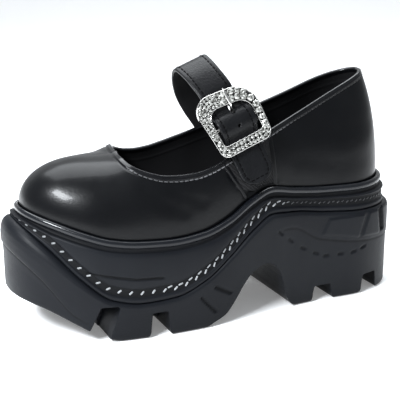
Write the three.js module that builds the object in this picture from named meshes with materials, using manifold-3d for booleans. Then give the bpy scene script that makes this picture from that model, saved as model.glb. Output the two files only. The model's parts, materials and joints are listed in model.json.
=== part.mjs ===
// A platform Mary Jane shoe for the left foot, in millimetres, +Z up, standing on the floor at Z 0.
// X runs from the toe (negative) to the heel (positive). The outer side, with the buckle, is -Y.
import * as THREE from "three";
import { mergeVertices } from "three/addons/utils/BufferGeometryUtils.js";
import Module from "manifold-3d";

const wasm = await Module();
wasm.setup();

// Driving sizes of the last, which is the form inside the shoe
const LAST_LENGTH = 245; // upper at its base, from toe to heel
const LAST_MIDDLE_X = -1.5;
const BALL_HALF = 43; // half of the upper's width at the ball
const TOE_ROUND = 60; // length over which the outline closes at the toe
const TOE_BLUNT = 2.3; // power of that curve: 2 is an ellipse, more is squarer
const HEEL_ROUND = 40; // length over which the outline closes at the heel
const HEEL_BLUNT = 2.2;
const RIDGE_HEIGHT = 172; // closed top line of the last, over the heel
const TOE_PULL = 42; // how far the top line starts behind the toe
const HEEL_PULL = 35; // how far it ends in front of the heel

// Driving sizes of the upper
const WALL = 2; // leather and lining together
const THROAT_X = -65.5; // front of the opening
const COLLAR_BACK_X = 113; // back of the opening
const COLLAR_HEIGHT = 148.3; // top edge of the heel above the floor
const OPENING_TURN = 0.2; // how far the opening swings back on the inner side, per millimetre of width

// Driving sizes of the sole
const HEEL_SEAT = 78; // rim of the sole above the floor, at the side of the heel
const CLEAR = 0.3; // gap between pieces that touch
const RIM_PROUD = 4; // how far the sole's rim stands out from the upper
const RIM_TALL = 4.4; // the round bead along the rim
const BEAD_STEP = 1.3; // how far the wall steps in under the bead
const BAND_TALL = 2.6; // plain band under the bead
const BELLY_PROUD = 2; // swell of the midsole's side beyond the rim
const CHANNEL_RISE = 9.4; // top of the sunk stitch channel above the outsole
const CHANNEL_TALL = 6; // height of that channel
const CHANNEL_DEEP = 1.3;
const LEAST_BELLY = 1; // plain wall between the band and the channel where they come closest
const EDGE_SLOPE = 0.4; // half the height over which a step in the sole's side is eased
const OUTSOLE_PROUD = 7; // how far the outsole stands out from the upper
const OUTSOLE_LIP = 2.6; // height of its rounded upper edge
const TOE_BUMPER = 5; // how much further it stands out at the toe
const BUMPER_END = 0.24; // share of the sole's length where that has run out
const BUMPER_ABOVE = 0.35; // the midsole's share of it
const TREAD_DEEP = 11; // gaps between the lugs, above the floor
const LUG_REACH = 19; // how far those gaps reach in from the sides
const CENTRE_TREAD = 4; // depth of the same gaps across the middle
const GAP_LEAN = 0.8; // how far each wall of a gap leans in
const GAP_ROUND = 3; // rounding of its roof
const LUG_ROUND = 3.5; // rounding of the lugs at the floor, along the sole
const LUG_ROUND_TALL = 6; // height of that rounding
const EDGE_ROUND = 2.2; // rounded lower edge of the lugs, along their sides
const BEYOND = 5; // how far cutting shapes reach past what they cut
const INSOLE_THICK = 3;
const INSOLE_ROUND = 1; // its eased upper edge

// Driving sizes of the strap, which lies across the instep, leans back with it and carries the buckle
const STRAP_LEAN = 0.379; // angle of its width above the floor, in radians
const STRAP_AT = 46.6; // its middle line, measured along its width from the origin
const STRAP_TOP = 150; // its highest point, measured square to its width
const STRAP_HALF_SPAN = 0.6512 * BALL_HALF; // half of the width it spans
const STRAP_WIDE = 24;
const STRAP_THICK = 2.2;
const STRAP_TAPER = 0.08; // how much narrower it is from the buckle to its end, as a share of its width
const TAPER_FROM = 0.35; // where that narrowing starts and over what it goes, as shares of its length
const TAPER_OVER = 0.2;
const TAIL_ROUND = 9; // length over which its end is rounded
const TAIL_BLUNT = 0.02; // the end's flat, as a share of that

// Driving sizes of the buckle
const BUCKLE_LEAN = 0.445; // how far its plane leans back from the upright, in radians
const BUCKLE_OUT = 0.7093 * BALL_HALF; // its middle from the shoe's middle plane
const BUCKLE_UP = 116.1; // its middle, measured like STRAP_TOP
const BUCKLE_BACK = 1.2; // its middle behind the strap's middle line
const BUCKLE_WIDE = 40;
const BUCKLE_LONG = 40;
const BUCKLE_THICK = 3;
const BUCKLE_BEVEL = 0.6;
const PIN_RADIUS = 1; // centre bar that the prong turns on
const PIN_DOWN = 2.2; // below the frame's middle
const PIN_DEPTH = 0.6; // below the frame's back
const PIN_SPAN = 30; // length of the centre bar with its ends inside the frame
const EYE_WALL = 0.8; // eye of the prong round the centre bar
const PRONG_RADIUS = 0.85;
const PRONG_BACK = 1.6; // the prong behind the frame's middle
const SLOT_TOP = 0.235; // ends of the strap's slot above the frame's middle, as shares of BUCKLE_LONG
const SLOT_LOW = 0.065;
const SLOT_WIDE = 2.5;

const COLUMNS = 40; // columns from toe to heel on each side
const SHELL_ROWS = 8; // rows of the upper above the sole
const OUTER = -1; // sign of Y on the outer side
const INNER = 1;

// Half width of the upper's base and how far its middle lies towards the inner side, as shares of BALL_HALF
const OUTLINE = [
  { at: 0.0, half: 0.85, middle: 0.12 },
  { at: 0.06, half: 0.895, middle: 0.1 },
  { at: 0.15, half: 0.96, middle: 0.05 },
  { at: 0.28, half: 0.995, middle: 0.005 },
  { at: 0.38, half: 0.96, middle: -0.04 },
  { at: 0.5, half: 0.855, middle: -0.075 },
  { at: 0.62, half: 0.76, middle: -0.06 },
  { at: 0.75, half: 0.735, middle: -0.025 },
  { at: 0.88, half: 0.75, middle: -0.01 },
  { at: 1.0, half: 0.76, middle: 0 },
];

// Heights along the sole as shares of HEEL_SEAT: its rim, the foot's bed and the top of the outsole. The
// width of the rim is a share of RIM_PROUD, the swell of the midsole's side a share of BELLY_PROUD
const SOLE = [
  { at: 0, rim: 0.985, bed: 0.85, wave: 0.9, proud: 0.8, swell: 0.4 },
  { at: 0.051, rim: 0.93, bed: 0.8, wave: 0.71, proud: 0.9, swell: 0.4 },
  { at: 0.111, rim: 0.86, bed: 0.745, wave: 0.49, proud: 1, swell: 0.7 },
  { at: 0.172, rim: 0.8, bed: 0.71, wave: 0.33, proud: 1, swell: 1 },
  { at: 0.243, rim: 0.77, bed: 0.685, wave: 0.285, proud: 1, swell: 1 },
  { at: 0.324, rim: 0.76, bed: 0.68, wave: 0.3, proud: 1, swell: 1 },
  { at: 0.405, rim: 0.785, bed: 0.7, wave: 0.4, proud: 1, swell: 1 },
  { at: 0.476, rim: 0.86, bed: 0.75, wave: 0.56, proud: 1, swell: 0.8 },
  { at: 0.547, rim: 0.99, bed: 0.82, wave: 0.735, proud: 1, swell: 0.4 },
  { at: 0.607, rim: 1.055, bed: 0.88, wave: 0.83, proud: 1, swell: 0.4 },
  { at: 0.678, rim: 1.02, bed: 0.915, wave: 0.82, proud: 1, swell: 0.5 },
  { at: 0.769, rim: 0.99, bed: 0.925, wave: 0.78, proud: 1, swell: 0.6 },
  { at: 0.891, rim: 0.98, bed: 0.925, wave: 0.75, proud: 1, swell: 0.7 },
  { at: 1, rim: 0.995, bed: 0.925, wave: 0.745, proud: 0.93, swell: 1.05 },
];

// Underside of the outsole before the lugs are cut and the ledge on its side, as shares of HEEL_SEAT, with
// the step in below the ledge in millimetres and how far the outsole stands out as a share of OUTSOLE_PROUD
const TREAD = [
  { at: 0, under: 0.31, ledge: 0.69, step: 1.2, out: 1 },
  { at: 0.04, under: 0.255, ledge: 0.505, step: 1.2, out: 1 },
  { at: 0.101, under: 0.135, ledge: 0.22, step: 0.6, out: 1 },
  { at: 0.152, under: 0.035, ledge: 0.14, step: 0, out: 1 },
  { at: 0.192, under: 0, ledge: 0.14, step: 0, out: 1 },
  { at: 0.506, under: 0, ledge: 0.35, step: 0, out: 1 },
  { at: 0.607, under: 0, ledge: 0.7, step: 0, out: 1 },
  { at: 0.66, under: 0, ledge: 0.7, step: 0.8, out: 1 },
  { at: 0.754, under: 0, ledge: 0.565, step: 0.8, out: 1 },
  { at: 0.911, under: 0, ledge: 0.485, step: 0.8, out: 1.1 },
  { at: 1, under: 0, ledge: 0.47, step: 0.5, out: 1.42 },
];

// Height of the last's closed top line as a share of RIDGE_HEIGHT, with the powers of the curves up to it:
// full for how late it leans in from the sides and steep for how late it leans in from the ends
const LAST = [
  { at: 0.0, ridge: 0.602, full: 2.3, steep: 2.3 },
  { at: 0.17, ridge: 0.604, full: 2.5, steep: 2.4 },
  { at: 0.23, ridge: 0.607, full: 2.7, steep: 2.5 },
  { at: 0.3, ridge: 0.642, full: 2.8, steep: 2.7 },
  { at: 0.4, ridge: 0.686, full: 2.8, steep: 3 },
  { at: 0.5, ridge: 0.744, full: 2.6, steep: 3.2 },
  { at: 0.6, ridge: 0.808, full: 2.25, steep: 3.2 },
  { at: 0.7, ridge: 0.866, full: 1.95, steep: 3 },
  { at: 0.8, ridge: 0.93, full: 1.7, steep: 2.6 },
  { at: 0.9, ridge: 1.0, full: 1.55, steep: 2.3 },
  { at: 1.0, ridge: 1.02, full: 1.5, steep: 2.2 },
];

// Top edge of the upper on its outer and inner side, from the throat to the heel, as shares of COLLAR_HEIGHT
const TOPLINE = [
  { at: 0.0, outer: 0.715, inner: 0.715 },
  { at: 0.012, outer: 0.707, inner: 0.697 },
  { at: 0.03, outer: 0.691, inner: 0.681 },
  { at: 0.06, outer: 0.674, inner: 0.669 },
  { at: 0.1, outer: 0.658, inner: 0.666 },
  { at: 0.15, outer: 0.645, inner: 0.673 },
  { at: 0.2, outer: 0.642, inner: 0.689 },
  { at: 0.26, outer: 0.646, inner: 0.712 },
  { at: 0.32, outer: 0.662, inner: 0.735 },
  { at: 0.4, outer: 0.701, inner: 0.763 },
  { at: 0.5, outer: 0.756, inner: 0.799 },
  { at: 0.6, outer: 0.806, inner: 0.838 },
  { at: 0.7, outer: 0.855, inner: 0.881 },
  { at: 0.86, outer: 0.938, inner: 0.953 },
  { at: 1.0, outer: 1.0, inner: 1.0 },
];

// Gaps cut up into the tread, as shares of LAST_LENGTH along the sole and of TREAD_DEEP in height, with how
// far the roof lies behind the part at the floor in millimetres
const LUG_GAPS = [
  { from: 0.097, to: 0.151, deep: 2.05, slant: 8 },
  { from: 0.256, to: 0.304, deep: 1.45, slant: 0 },
  { from: 0.737, to: 0.796, deep: 1.0, slant: 0 },
  { from: 0.893, to: 0.949, deep: 1.2, slant: 0 },
];

// Arch under the waist, from the forefoot to the heel block, as shares of LAST_LENGTH and HEEL_SEAT
const ARCH = [
  { at: 0.397, rise: -0.05 },
  { at: 0.405, rise: 0.0 },
  { at: 0.461, rise: 0.09 },
  { at: 0.491, rise: 0.2 },
  { at: 0.516, rise: 0.31 },
  { at: 0.547, rise: 0.4 },
  { at: 0.582, rise: 0.435 },
  { at: 0.612, rise: 0.4 },
  { at: 0.633, rise: 0.3 },
  { at: 0.645, rise: 0.17 },
  { at: 0.656, rise: 0.08 },
  { at: 0.669, rise: 0.027 },
  { at: 0.69, rise: 0.0 },
  { at: 0.7, rise: -0.02 },
];

// Elastic gore in the outer wall, seen from the side, as shares of LAST_LENGTH and COLLAR_HEIGHT, and the way
// that each corner moves for the gap round it
const GORE = [
  { at: 0.4, up: 0.877, towards: 1 },
  { at: 0.61, up: 0.877, towards: -1 },
  { at: 0.635, up: 0.337, towards: -1 },
  { at: 0.602, up: 0.337, towards: 1 },
];
const GORE_INSET = 0.6; // its face lies this far below the leather's

// Middle line of the strap from its inner end to the buckle: height as a share of STRAP_TOP, distance towards
// the inner side as a share of STRAP_HALF_SPAN, set back as a share of STRAP_WIDE
const STRAP = [
  { up: 0.507, inward: 1.1, back: 0.4 },
  { up: 0.56, inward: 1.08, back: 0.375 },
  { up: 0.62, inward: 1.03, back: 0.333 },
  { up: 0.687, inward: 0.99, back: 0.27 },
  { up: 0.763, inward: 0.957, back: 0.15 },
  { up: 0.847, inward: 0.868, back: 0.054 },
  { up: 0.923, inward: 0.643, back: 0.01 },
  { up: 0.973, inward: 0.418, back: 0 },
  { up: 0.999, inward: 0.16, back: 0 },
  { up: 0.982, inward: -0.16, back: 0 },
  { up: 0.949, inward: -0.436, back: 0 },
];

// The strap's way through the buckle: down from its middle as a share of BUCKLE_LONG, out from its back as a
// share of BUCKLE_THICK and set back as a share of STRAP_WIDE
const THREADING = [
  { down: -0.539, out: -0.53, back: 0.012 },
  { down: -0.444, out: -0.53, back: 0.012 },
  { down: -0.23, out: -0.53, back: 0.012 },
  { down: -0.145, out: -0.2, back: 0.01 },
  { down: -0.075, out: 0.55, back: 0.005 },
  { down: -0.006, out: 0.98, back: 0 },
  { down: 0.106, out: 0.98, back: 0 },
  { down: 0.17, out: 0.62, back: 0 },
  { down: 0.24, out: -0.1, back: -0.005 },
  { down: 0.316, out: -0.52, back: -0.01 },
  { down: 0.506, out: -0.53, back: -0.025 },
  { down: 0.638, out: -0.5, back: -0.04 },
  { down: 0.79, out: -0.3, back: -0.065 },
  { down: 0.933, out: 0, back: -0.09 },
  { down: 1.05, out: 0.35, back: -0.11 },
];

// The prong's middle line, in the same terms
const PRONG = [
  { down: 0.008, out: -0.2 },
  { down: -0.082, out: -0.2 },
  { down: -0.145, out: 0.23 },
  { down: -0.228, out: 1.3 },
  { down: -0.28, out: 1.42 },
  { down: -0.43, out: 1.42 },
];

// Corners of the frame and of its window before they are rounded, from its middle: back as a share of
// BUCKLE_WIDE, up as a share of BUCKLE_LONG, and the length that the rounding takes as a share of BUCKLE_WIDE
const FRAME_CORNERS = [
  { back: -0.46, up: -0.5, round: 0.13 },
  { back: 0.435, up: -0.5, round: 0.15 },
  { back: 0.52, up: 0.43, round: 0.4 },
  { back: -0.53, up: 0.525, round: 0.33 },
];
const WINDOW_CORNERS = [
  { back: -0.352, up: -0.328, round: 0.06 },
  { back: 0.335, up: -0.328, round: 0.06 },
  { back: 0.35, up: 0.205, round: 0.2 },
  { back: -0.35, up: 0.267, round: 0.2 },
];

// Value of a table's column at a share, on a smooth curve that passes through every row and never overshoots
const slopes = new Map();
function along(table, column, at) {
  const key = `${table[0].at} ${table.length} ${column}`;
  if (!slopes.has(key)) {
    const rise = table.slice(1).map((row, i) => (row[column] - table[i][column]) / (row.at - table[i].at));
    const between = (next, i) => (next * rise[i] > 0 ? (2 * next * rise[i]) / (next + rise[i]) : 0);
    const inside = rise.slice(1).map(between);
    slopes.set(key, [rise[0], ...inside, rise[rise.length - 1]]);
  }
  const slope = slopes.get(key);
  if (at <= table[0].at) return table[0][column] + slope[0] * (at - table[0].at);
  const last = table.length - 1;
  if (at >= table[last].at) return table[last][column] + slope[last] * (at - table[last].at);
  const i = table.findIndex((row) => row.at > at) - 1;
  const width = table[i + 1].at - table[i].at;
  const t = (at - table[i].at) / width;
  return (
    table[i][column] * (2 * t ** 3 - 3 * t ** 2 + 1) +
    slope[i] * width * (t ** 3 - 2 * t ** 2 + t) +
    table[i + 1][column] * (3 * t ** 2 - 2 * t ** 3) +
    slope[i + 1] * width * (t ** 3 - t ** 2)
  );
}

const clamp = (value, low, high) => Math.min(high, Math.max(low, value));
const toX = (at) => (at - 0.5) * LAST_LENGTH + LAST_MIDDLE_X;
const toAt = (x) => (x - LAST_MIDDLE_X) / LAST_LENGTH + 0.5;
const rimZ = (at) => HEEL_SEAT * along(SOLE, "rim", at);
const bedZ = (at) => HEEL_SEAT * along(SOLE, "bed", at);
const waveZ = (at) => HEEL_SEAT * along(SOLE, "wave", at);

// Angles run round the outline from the toe (0) past the outer side to the heel (PI) and back
const atOf = (angle) => (1 - Math.cos(angle)) / 2;

function lastOutline(angle) {
  const at = atOf(angle);
  const toe = Math.min(1, (at * LAST_LENGTH) / TOE_ROUND);
  const heel = Math.min(1, ((1 - at) * LAST_LENGTH) / HEEL_ROUND);
  const closing =
    (1 - (1 - toe) ** TOE_BLUNT) ** (1 / TOE_BLUNT) * (1 - (1 - heel) ** HEEL_BLUNT) ** (1 / HEEL_BLUNT);
  const half = BALL_HALF * along(OUTLINE, "half", at) * closing;
  const side = Math.sin(angle) >= 0 ? OUTER : INNER;
  return [toX(at), BALL_HALF * along(OUTLINE, "middle", at) + side * half];
}

// Outline moved outward by some millimetres, square to itself
function outline(angle, out) {
  const step = 0.004;
  const [x, y] = lastOutline(angle);
  const [x0, y0] = lastOutline(angle - step);
  const [x1, y1] = lastOutline(angle + step);
  const run = Math.hypot(x1 - x0, y1 - y0);
  return [x + ((y1 - y0) / run) * out, y - ((x1 - x0) / run) * out];
}

const evenAngles = Array.from({ length: 2 * COLUMNS }, (_, i) => (i * Math.PI) / COLUMNS);

// A closed mesh as a solid for joining and cutting
function toSolid(geometry) {
  const bare = geometry.clone();
  bare.deleteAttribute("normal");
  bare.deleteAttribute("uv");
  const merged = mergeVertices(bare, 1e-4);
  return new wasm.Manifold(
    new wasm.Mesh({
      numProp: 3,
      vertProperties: Float32Array.from(merged.attributes.position.array),
      triVerts: Uint32Array.from(merged.index.array),
    }),
  );
}

function toGeometry(solid) {
  const mesh = solid.getMesh();
  const geometry = new THREE.BufferGeometry();
  geometry.setAttribute("position", new THREE.BufferAttribute(Float32Array.from(mesh.vertProperties), 3));
  geometry.setIndex(new THREE.BufferAttribute(Uint32Array.from(mesh.triVerts), 1));
  geometry.computeVertexNormals();
  return geometry;
}

function meshSolid(points, faces) {
  const geometry = new THREE.BufferGeometry();
  geometry.setAttribute("position", new THREE.Float32BufferAttribute(points.flat(), 3));
  geometry.setIndex(faces.flat());
  return toSolid(geometry);
}

// Solid through a stack of rings from the lowest to the highest, with its ends closed from side to side
function ringSolid(rings) {
  const count = rings[0].length;
  const half = count / 2;
  const points = rings.flat();
  const faces = [];
  for (let level = 0; level + 1 < rings.length; level++)
    for (let i = 0; i < count; i++) {
      const a = level * count + i;
      const b = level * count + ((i + 1) % count);
      faces.push([a, b, b + count], [a, b + count, a + count]);
    }
  const top = (rings.length - 1) * count;
  for (let i = 0; i < half; i++) {
    const back = (count - i) % count;
    const next = count - i - 1;
    if (i + 1 !== next) {
      faces.push([top + i, top + i + 1, top + next]);
      faces.push([i + 1, i, next]);
    }
    if (back !== i) {
      faces.push([top + i, top + next, top + back]);
      faces.push([i, back, next]);
    }
  }
  return meshSolid(points, faces);
}

// Round bar along a line, closed at both ends
function tubeSolid(line, spans, radius, sides) {
  const tube = new THREE.TubeGeometry(line, spans, radius, sides, false);
  const place = tube.attributes.position;
  const points = [];
  for (let row = 0; row <= spans; row++)
    for (let i = 0; i < sides; i++) {
      const point = new THREE.Vector3().fromBufferAttribute(place, row * (sides + 1) + i);
      points.push(point.toArray());
    }
  const faces = [];
  for (let row = 0; row < spans; row++)
    for (let i = 0; i < sides; i++) {
      const a = row * sides + i;
      const b = row * sides + ((i + 1) % sides);
      faces.push([a, b + sides, b], [a, a + sides, b + sides]);
    }
  const last = spans * sides;
  for (let i = 1; i + 1 < sides; i++) faces.push([0, i, i + 1], [last, last + i + 1, last + i]);
  const solid = meshSolid(points, faces);
  return solid.volume() > 0 ? solid : meshSolid(points, faces.map(([a, b, c]) => [a, c, b]));
}

// One ring of the sole: how far out it is and how high, each as a function of the share along the sole
const soleRing = (out, height) =>
  evenAngles.map((angle) => {
    const at = atOf(angle);
    return [...outline(angle, out(at)), height(at)];
  });

// Prism of a side view shape, points in X and Z, from one Y to another
function sidePrism(shape, fromY, toY) {
  const depth = toY - fromY;
  const geometry = new THREE.ExtrudeGeometry(shape, { depth, bevelEnabled: false, curveSegments: 6 });
  geometry.rotateX(Math.PI / 2);
  geometry.translate(0, toY, 0);
  return toSolid(geometry);
}

// Swell of the outsole at the toe, 1 at the tip and 0 where the bumper ends
const bumper = (at) => TOE_BUMPER * (1 - Math.min(1, at / BUMPER_END)) ** 1.6;

function makeMidsole() {
  const bottom = (at) => waveZ(at) + CLEAR / 2;
  const under = (at) => rimZ(at) - RIM_TALL;
  // Where the outsole rises high, at the toe, the forms under the bead shrink to fit
  const fit = (at) => Math.min(1, (under(at) - bottom(at)) / (BAND_TALL + CHANNEL_RISE + LEAST_BELLY));
  const bandEnd = (at) => under(at) - BAND_TALL * fit(at);
  const channelTop = (at) => bottom(at) + CHANNEL_RISE * fit(at);
  const channelLow = (at) => channelTop(at) - CHANNEL_TALL * fit(at);
  const room = (at) => bandEnd(at) - channelTop(at);
  const swell = (at) => BELLY_PROUD * along(SOLE, "swell", at);
  const rim = (at) => RIM_PROUD * along(SOLE, "proud", at);
  const wall = (at) => rim(at) + swell(at) + bumper(at) * BUMPER_ABOVE;
  const channel = (at) => wall(at) - CHANNEL_DEEP;
  const band = (at) => rim(at) - BEAD_STEP;
  const slope = (at) => EDGE_SLOPE * fit(at);
  const rows = [
    [wall, bottom],
    [wall, (at) => channelLow(at) - slope(at)],
    [channel, (at) => channelLow(at) + slope(at)],
    [channel, (at) => channelTop(at) - slope(at)],
    [(at) => wall(at) - CHANNEL_DEEP / 4, (at) => channelTop(at) + slope(at) / 2],
    [wall, (at) => channelTop(at) + 0.3 * room(at)],
    [(at) => wall(at) - 0.2 * swell(at), (at) => channelTop(at) + 0.7 * room(at)],
    [(at) => wall(at) - 0.6 * swell(at), (at) => bandEnd(at) - slope(at) / 4],
    [band, (at) => bandEnd(at) + slope(at)],
    [band, under],
    [rim, (at) => under(at) + 2 * EDGE_SLOPE],
    [rim, (at) => rimZ(at) - 3 * EDGE_SLOPE],
    [band, rimZ],
  ];
  const body = ringSolid(rows.map(([out, height]) => soleRing(out, height)));
  const inside = () => CLEAR;
  const trayTop = (at) => rimZ(at) + BEYOND;
  const tray = ringSolid([soleRing(inside, bedZ), soleRing(inside, trayTop)]);
  return body.subtract(tray);
}

// Gap between two lugs, seen from the side
function gapShape(gap) {
  const front = toX(gap.from);
  const back = toX(gap.to);
  const roof = TREAD_DEEP * gap.deep;
  const shape = new THREE.Shape();
  const turn = roof - GAP_ROUND / 2;
  const foot = (gap.slant * LUG_ROUND_TALL) / roof;
  const [frontTop, backTop] = [front + gap.slant + GAP_LEAN, back + gap.slant - GAP_LEAN];
  shape.moveTo(front - LUG_ROUND, -BEYOND);
  shape.lineTo(back + LUG_ROUND, -BEYOND);
  shape.lineTo(back + LUG_ROUND, 0);
  shape.quadraticCurveTo(back, 0, back + foot, LUG_ROUND_TALL);
  shape.lineTo(backTop, turn);
  shape.quadraticCurveTo(backTop, roof, backTop + GAP_LEAN - GAP_ROUND, roof);
  shape.lineTo(frontTop - GAP_LEAN + GAP_ROUND, roof);
  shape.quadraticCurveTo(frontTop, roof, frontTop, turn);
  shape.lineTo(front + foot, LUG_ROUND_TALL);
  shape.quadraticCurveTo(front, 0, front - LUG_ROUND, 0);
  shape.closePath();
  return shape;
}

function makeOutsole() {
  const under = (at) => HEEL_SEAT * along(TREAD, "under", at);
  const ledge = (at) => HEEL_SEAT * along(TREAD, "ledge", at);
  const step = (at) => along(TREAD, "step", at);
  const top = (at) => waveZ(at) - CLEAR / 2;
  const wall = (at) => OUTSOLE_PROUD * along(TREAD, "out", at) + bumper(at);
  const low = (at) => wall(at) - step(at);
  const lip = (at) => OUTSOLE_LIP + bumper(at);
  const rows = [
    [(at) => low(at) - EDGE_ROUND, under],
    [(at) => low(at) - EDGE_ROUND * 0.3, (at) => under(at) + EDGE_ROUND * 0.3],
    [low, (at) => under(at) + EDGE_ROUND],
    [low, (at) => ledge(at) - EDGE_SLOPE],
    [wall, (at) => ledge(at) + EDGE_SLOPE],
    [wall, (at) => top(at) - lip(at)],
    [(at) => wall(at) - lip(at) * 0.2, (at) => top(at) - lip(at) * 0.35],
    [(at) => wall(at) - lip(at) * 0.6, top],
  ];
  let body = ringSolid(rows.map(([out, height]) => soleRing(out, height)));
  const far = 2 * BALL_HALF;
  for (const gap of LUG_GAPS) {
    const middleAt = (gap.from + gap.to) / 2;
    const angle = Math.acos(1 - 2 * middleAt);
    const outerY = outline(angle, 0)[1] + LUG_REACH - OUTSOLE_PROUD;
    const innerY = outline(-angle, 0)[1] - LUG_REACH + OUTSOLE_PROUD;
    body = body.subtract(sidePrism(gapShape(gap), -far, outerY));
    body = body.subtract(sidePrism(gapShape(gap), innerY, far));
    const shallow = { ...gap, slant: 0, deep: (CENTRE_TREAD + under(middleAt)) / TREAD_DEEP };
    body = body.subtract(sidePrism(gapShape(shallow), outerY - 1, innerY + 1));
  }
  const arch = new THREE.Shape();
  arch.moveTo(toX(ARCH[0].at), -BEYOND);
  arch.lineTo(toX(ARCH[0].at), HEEL_SEAT * ARCH[0].rise);
  arch.splineThru(ARCH.slice(1).map((row) => new THREE.Vector2(toX(row.at), HEEL_SEAT * row.rise)));
  arch.lineTo(toX(ARCH[ARCH.length - 1].at), -BEYOND);
  arch.closePath();
  return body.subtract(sidePrism(arch, -far, far));
}

// The last's closed top line: where the column of an angle ends if nothing opens it
function ridgePoint(angle) {
  const at = atOf(angle);
  const ridgeX = toX(at) + TOE_PULL * (1 - at) ** 4 - HEEL_PULL * at ** 4;
  const ridgeAt = toAt(ridgeX);
  const ridgeY = BALL_HALF * along(OUTLINE, "middle", ridgeAt);
  return [ridgeX, ridgeY, RIDGE_HEIGHT * along(LAST, "ridge", ridgeAt)];
}

// Surface of the last: lift 0 is the rim of the sole and lift PI / 2 the top line
function lastSurface(angle, lift) {
  const at = atOf(angle);
  const [x, y] = lastOutline(angle);
  const [ridgeX, ridgeY, ridgeZ] = ridgePoint(angle);
  const left = Math.max(0, Math.cos(lift));
  const fromEnd = 1 - left ** (2 / along(LAST, "steep", at));
  const fromSide = 1 - left ** (2 / along(LAST, "full", at));
  const base = rimZ(at);
  return [x + (ridgeX - x) * fromEnd, y + (ridgeY - y) * fromSide, base + (ridgeZ - base) * Math.sin(lift)];
}

const sideOf = (angle) => (Math.sin(angle) >= 0 ? "outer" : "inner");
function toplineZ(x, y, side) {
  const turned = x - OPENING_TURN * y;
  return COLLAR_HEIGHT * along(TOPLINE, side, (turned - THROAT_X) / (COLLAR_BACK_X - THROAT_X));
}
const overTopline = ([x, y, z], side) => z - toplineZ(x, y, side);

// Lift at which a column meets the top edge, or PI / 2 in front of the throat
function liftAtTopline(angle) {
  const side = sideOf(angle);
  if (overTopline(ridgePoint(angle), side) <= 0) return Math.PI / 2;
  let low = 0;
  let high = Math.PI / 2;
  for (let i = 0; i < 40; i++) {
    const middle = (low + high) / 2;
    if (overTopline(lastSurface(angle, middle), side) > 0) high = middle;
    else low = middle;
  }
  return high;
}

const BEHIND_THROAT = [0, 0.1, 0.3, 0.6]; // extra columns from the throat on, as shares of a column's width
// Columns of the upper: even ones, with one at the throat and some close behind it
function upperAngles() {
  let low = 0.2;
  let high = 1.6;
  for (let i = 0; i < 40; i++) {
    const middle = (low + high) / 2;
    if (overTopline(ridgePoint(middle), "outer") > 0) high = middle;
    else low = middle;
  }
  const throat = low;
  const spacing = Math.PI / COLUMNS;
  const even = Array.from({ length: COLUMNS + 1 }, (_, i) => i * spacing);
  const kept = even.filter((angle) => Math.abs(angle - throat - spacing / 4) > 0.65 * spacing);
  const close = BEHIND_THROAT.map((share) => throat + share * spacing);
  const oneSide = [...kept, ...close].sort((a, b) => a - b);
  const otherSide = oneSide.slice(1, -1).map((angle) => 2 * Math.PI - angle);
  return { angles: [...oneSide, ...otherSide.reverse()], throat };
}

// Point on a surface some millimetres inside the last's. The row below 0 goes down to the sole's bed
function shellPoint(angle, row, top, inset) {
  const skirt = row < 0 ? 1 : 0;
  const share = Math.max(row, 0) / SHELL_ROWS;
  const lift = top * share;
  const step = 0.003;
  const along0 = lastSurface(angle - step, lift);
  const along1 = lastSurface(angle + step, lift);
  const up0 = lastSurface(angle, Math.max(0, lift - step));
  const up1 = lastSurface(angle, Math.min(Math.PI / 2, lift + step));
  const a = new THREE.Vector3(...along1).sub(new THREE.Vector3(...along0));
  const u = new THREE.Vector3(...up1).sub(new THREE.Vector3(...up0));
  if (share === 0) {
    a.z = 0;
    u.set(0, 0, 1);
  }
  const normal = a.cross(u).normalize();
  const point = new THREE.Vector3(...lastSurface(angle, lift)).addScaledVector(normal, -inset);
  point.z -= skirt * (rimZ(atOf(angle)) - bedZ(atOf(angle)) - CLEAR);
  return point.toArray();
}

// Hollow shell of the last between two depths below its surface, open at the top edge and underneath
function upperShell(outerInset, innerInset) {
  const { angles, throat } = upperAngles();
  const count = angles.length;
  const rows = [-1, ...Array.from({ length: SHELL_ROWS + 1 }, (_, i) => i)];
  const points = [];
  const closed = angles.map((angle) => Math.min(angle, 2 * Math.PI - angle) <= throat + 1e-6);
  for (const inset of [outerInset, innerInset])
    for (const row of rows)
      angles.forEach((angle) => {
        const top = liftAtTopline(angle);
        points.push(shellPoint(angle, row, top, inset));
      });
  const level = (side, row) => (side * rows.length + row) * count;
  // Columns in front of the throat end on the top line, where both sides share one point
  const last = rows.length - 1;
  for (const side of [0, 1])
    angles.forEach((_, i) => {
      if (closed[i] && i > count / 2) points[level(side, last) + i] = points[level(side, last) + count - i];
    });
  const faces = [];
  for (let i = 0; i < count; i++) {
    const next = (i + 1) % count;
    for (let row = 0; row < last; row++) {
      const [a, b] = [level(0, row) + i, level(0, row) + next];
      faces.push([a, b, b + count], [a, b + count, a + count]);
      const [c, d] = [level(1, row) + i, level(1, row) + next];
      faces.push([c, d + count, d], [c, c + count, d + count]);
    }
    faces.push([level(0, 0) + next, level(0, 0) + i, level(1, 0) + i]);
    faces.push([level(0, 0) + next, level(1, 0) + i, level(1, 0) + next]);
    if (!(closed[i] && closed[next])) {
      faces.push([level(0, last) + i, level(0, last) + next, level(1, last) + next]);
      faces.push([level(0, last) + i, level(1, last) + next, level(1, last) + i]);
    }
  }
  return meshSolid(points, faces);
}

// Half width of the last's side at a place, found on the column that passes it
function sideY(x, z, side) {
  let low = 0.02;
  let high = Math.PI - 0.02;
  let point = [0, 0, 0];
  for (let i = 0; i < 30; i++) {
    const middle = (low + high) / 2;
    const angle = side === OUTER ? middle : 2 * Math.PI - middle;
    const base = rimZ(atOf(angle));
    const rise = clamp((z - base) / (ridgePoint(angle)[2] - base), 0, 1);
    point = lastSurface(angle, Math.asin(rise));
    if (point[0] < x) low = middle;
    else high = middle;
  }
  return point[1];
}

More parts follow.
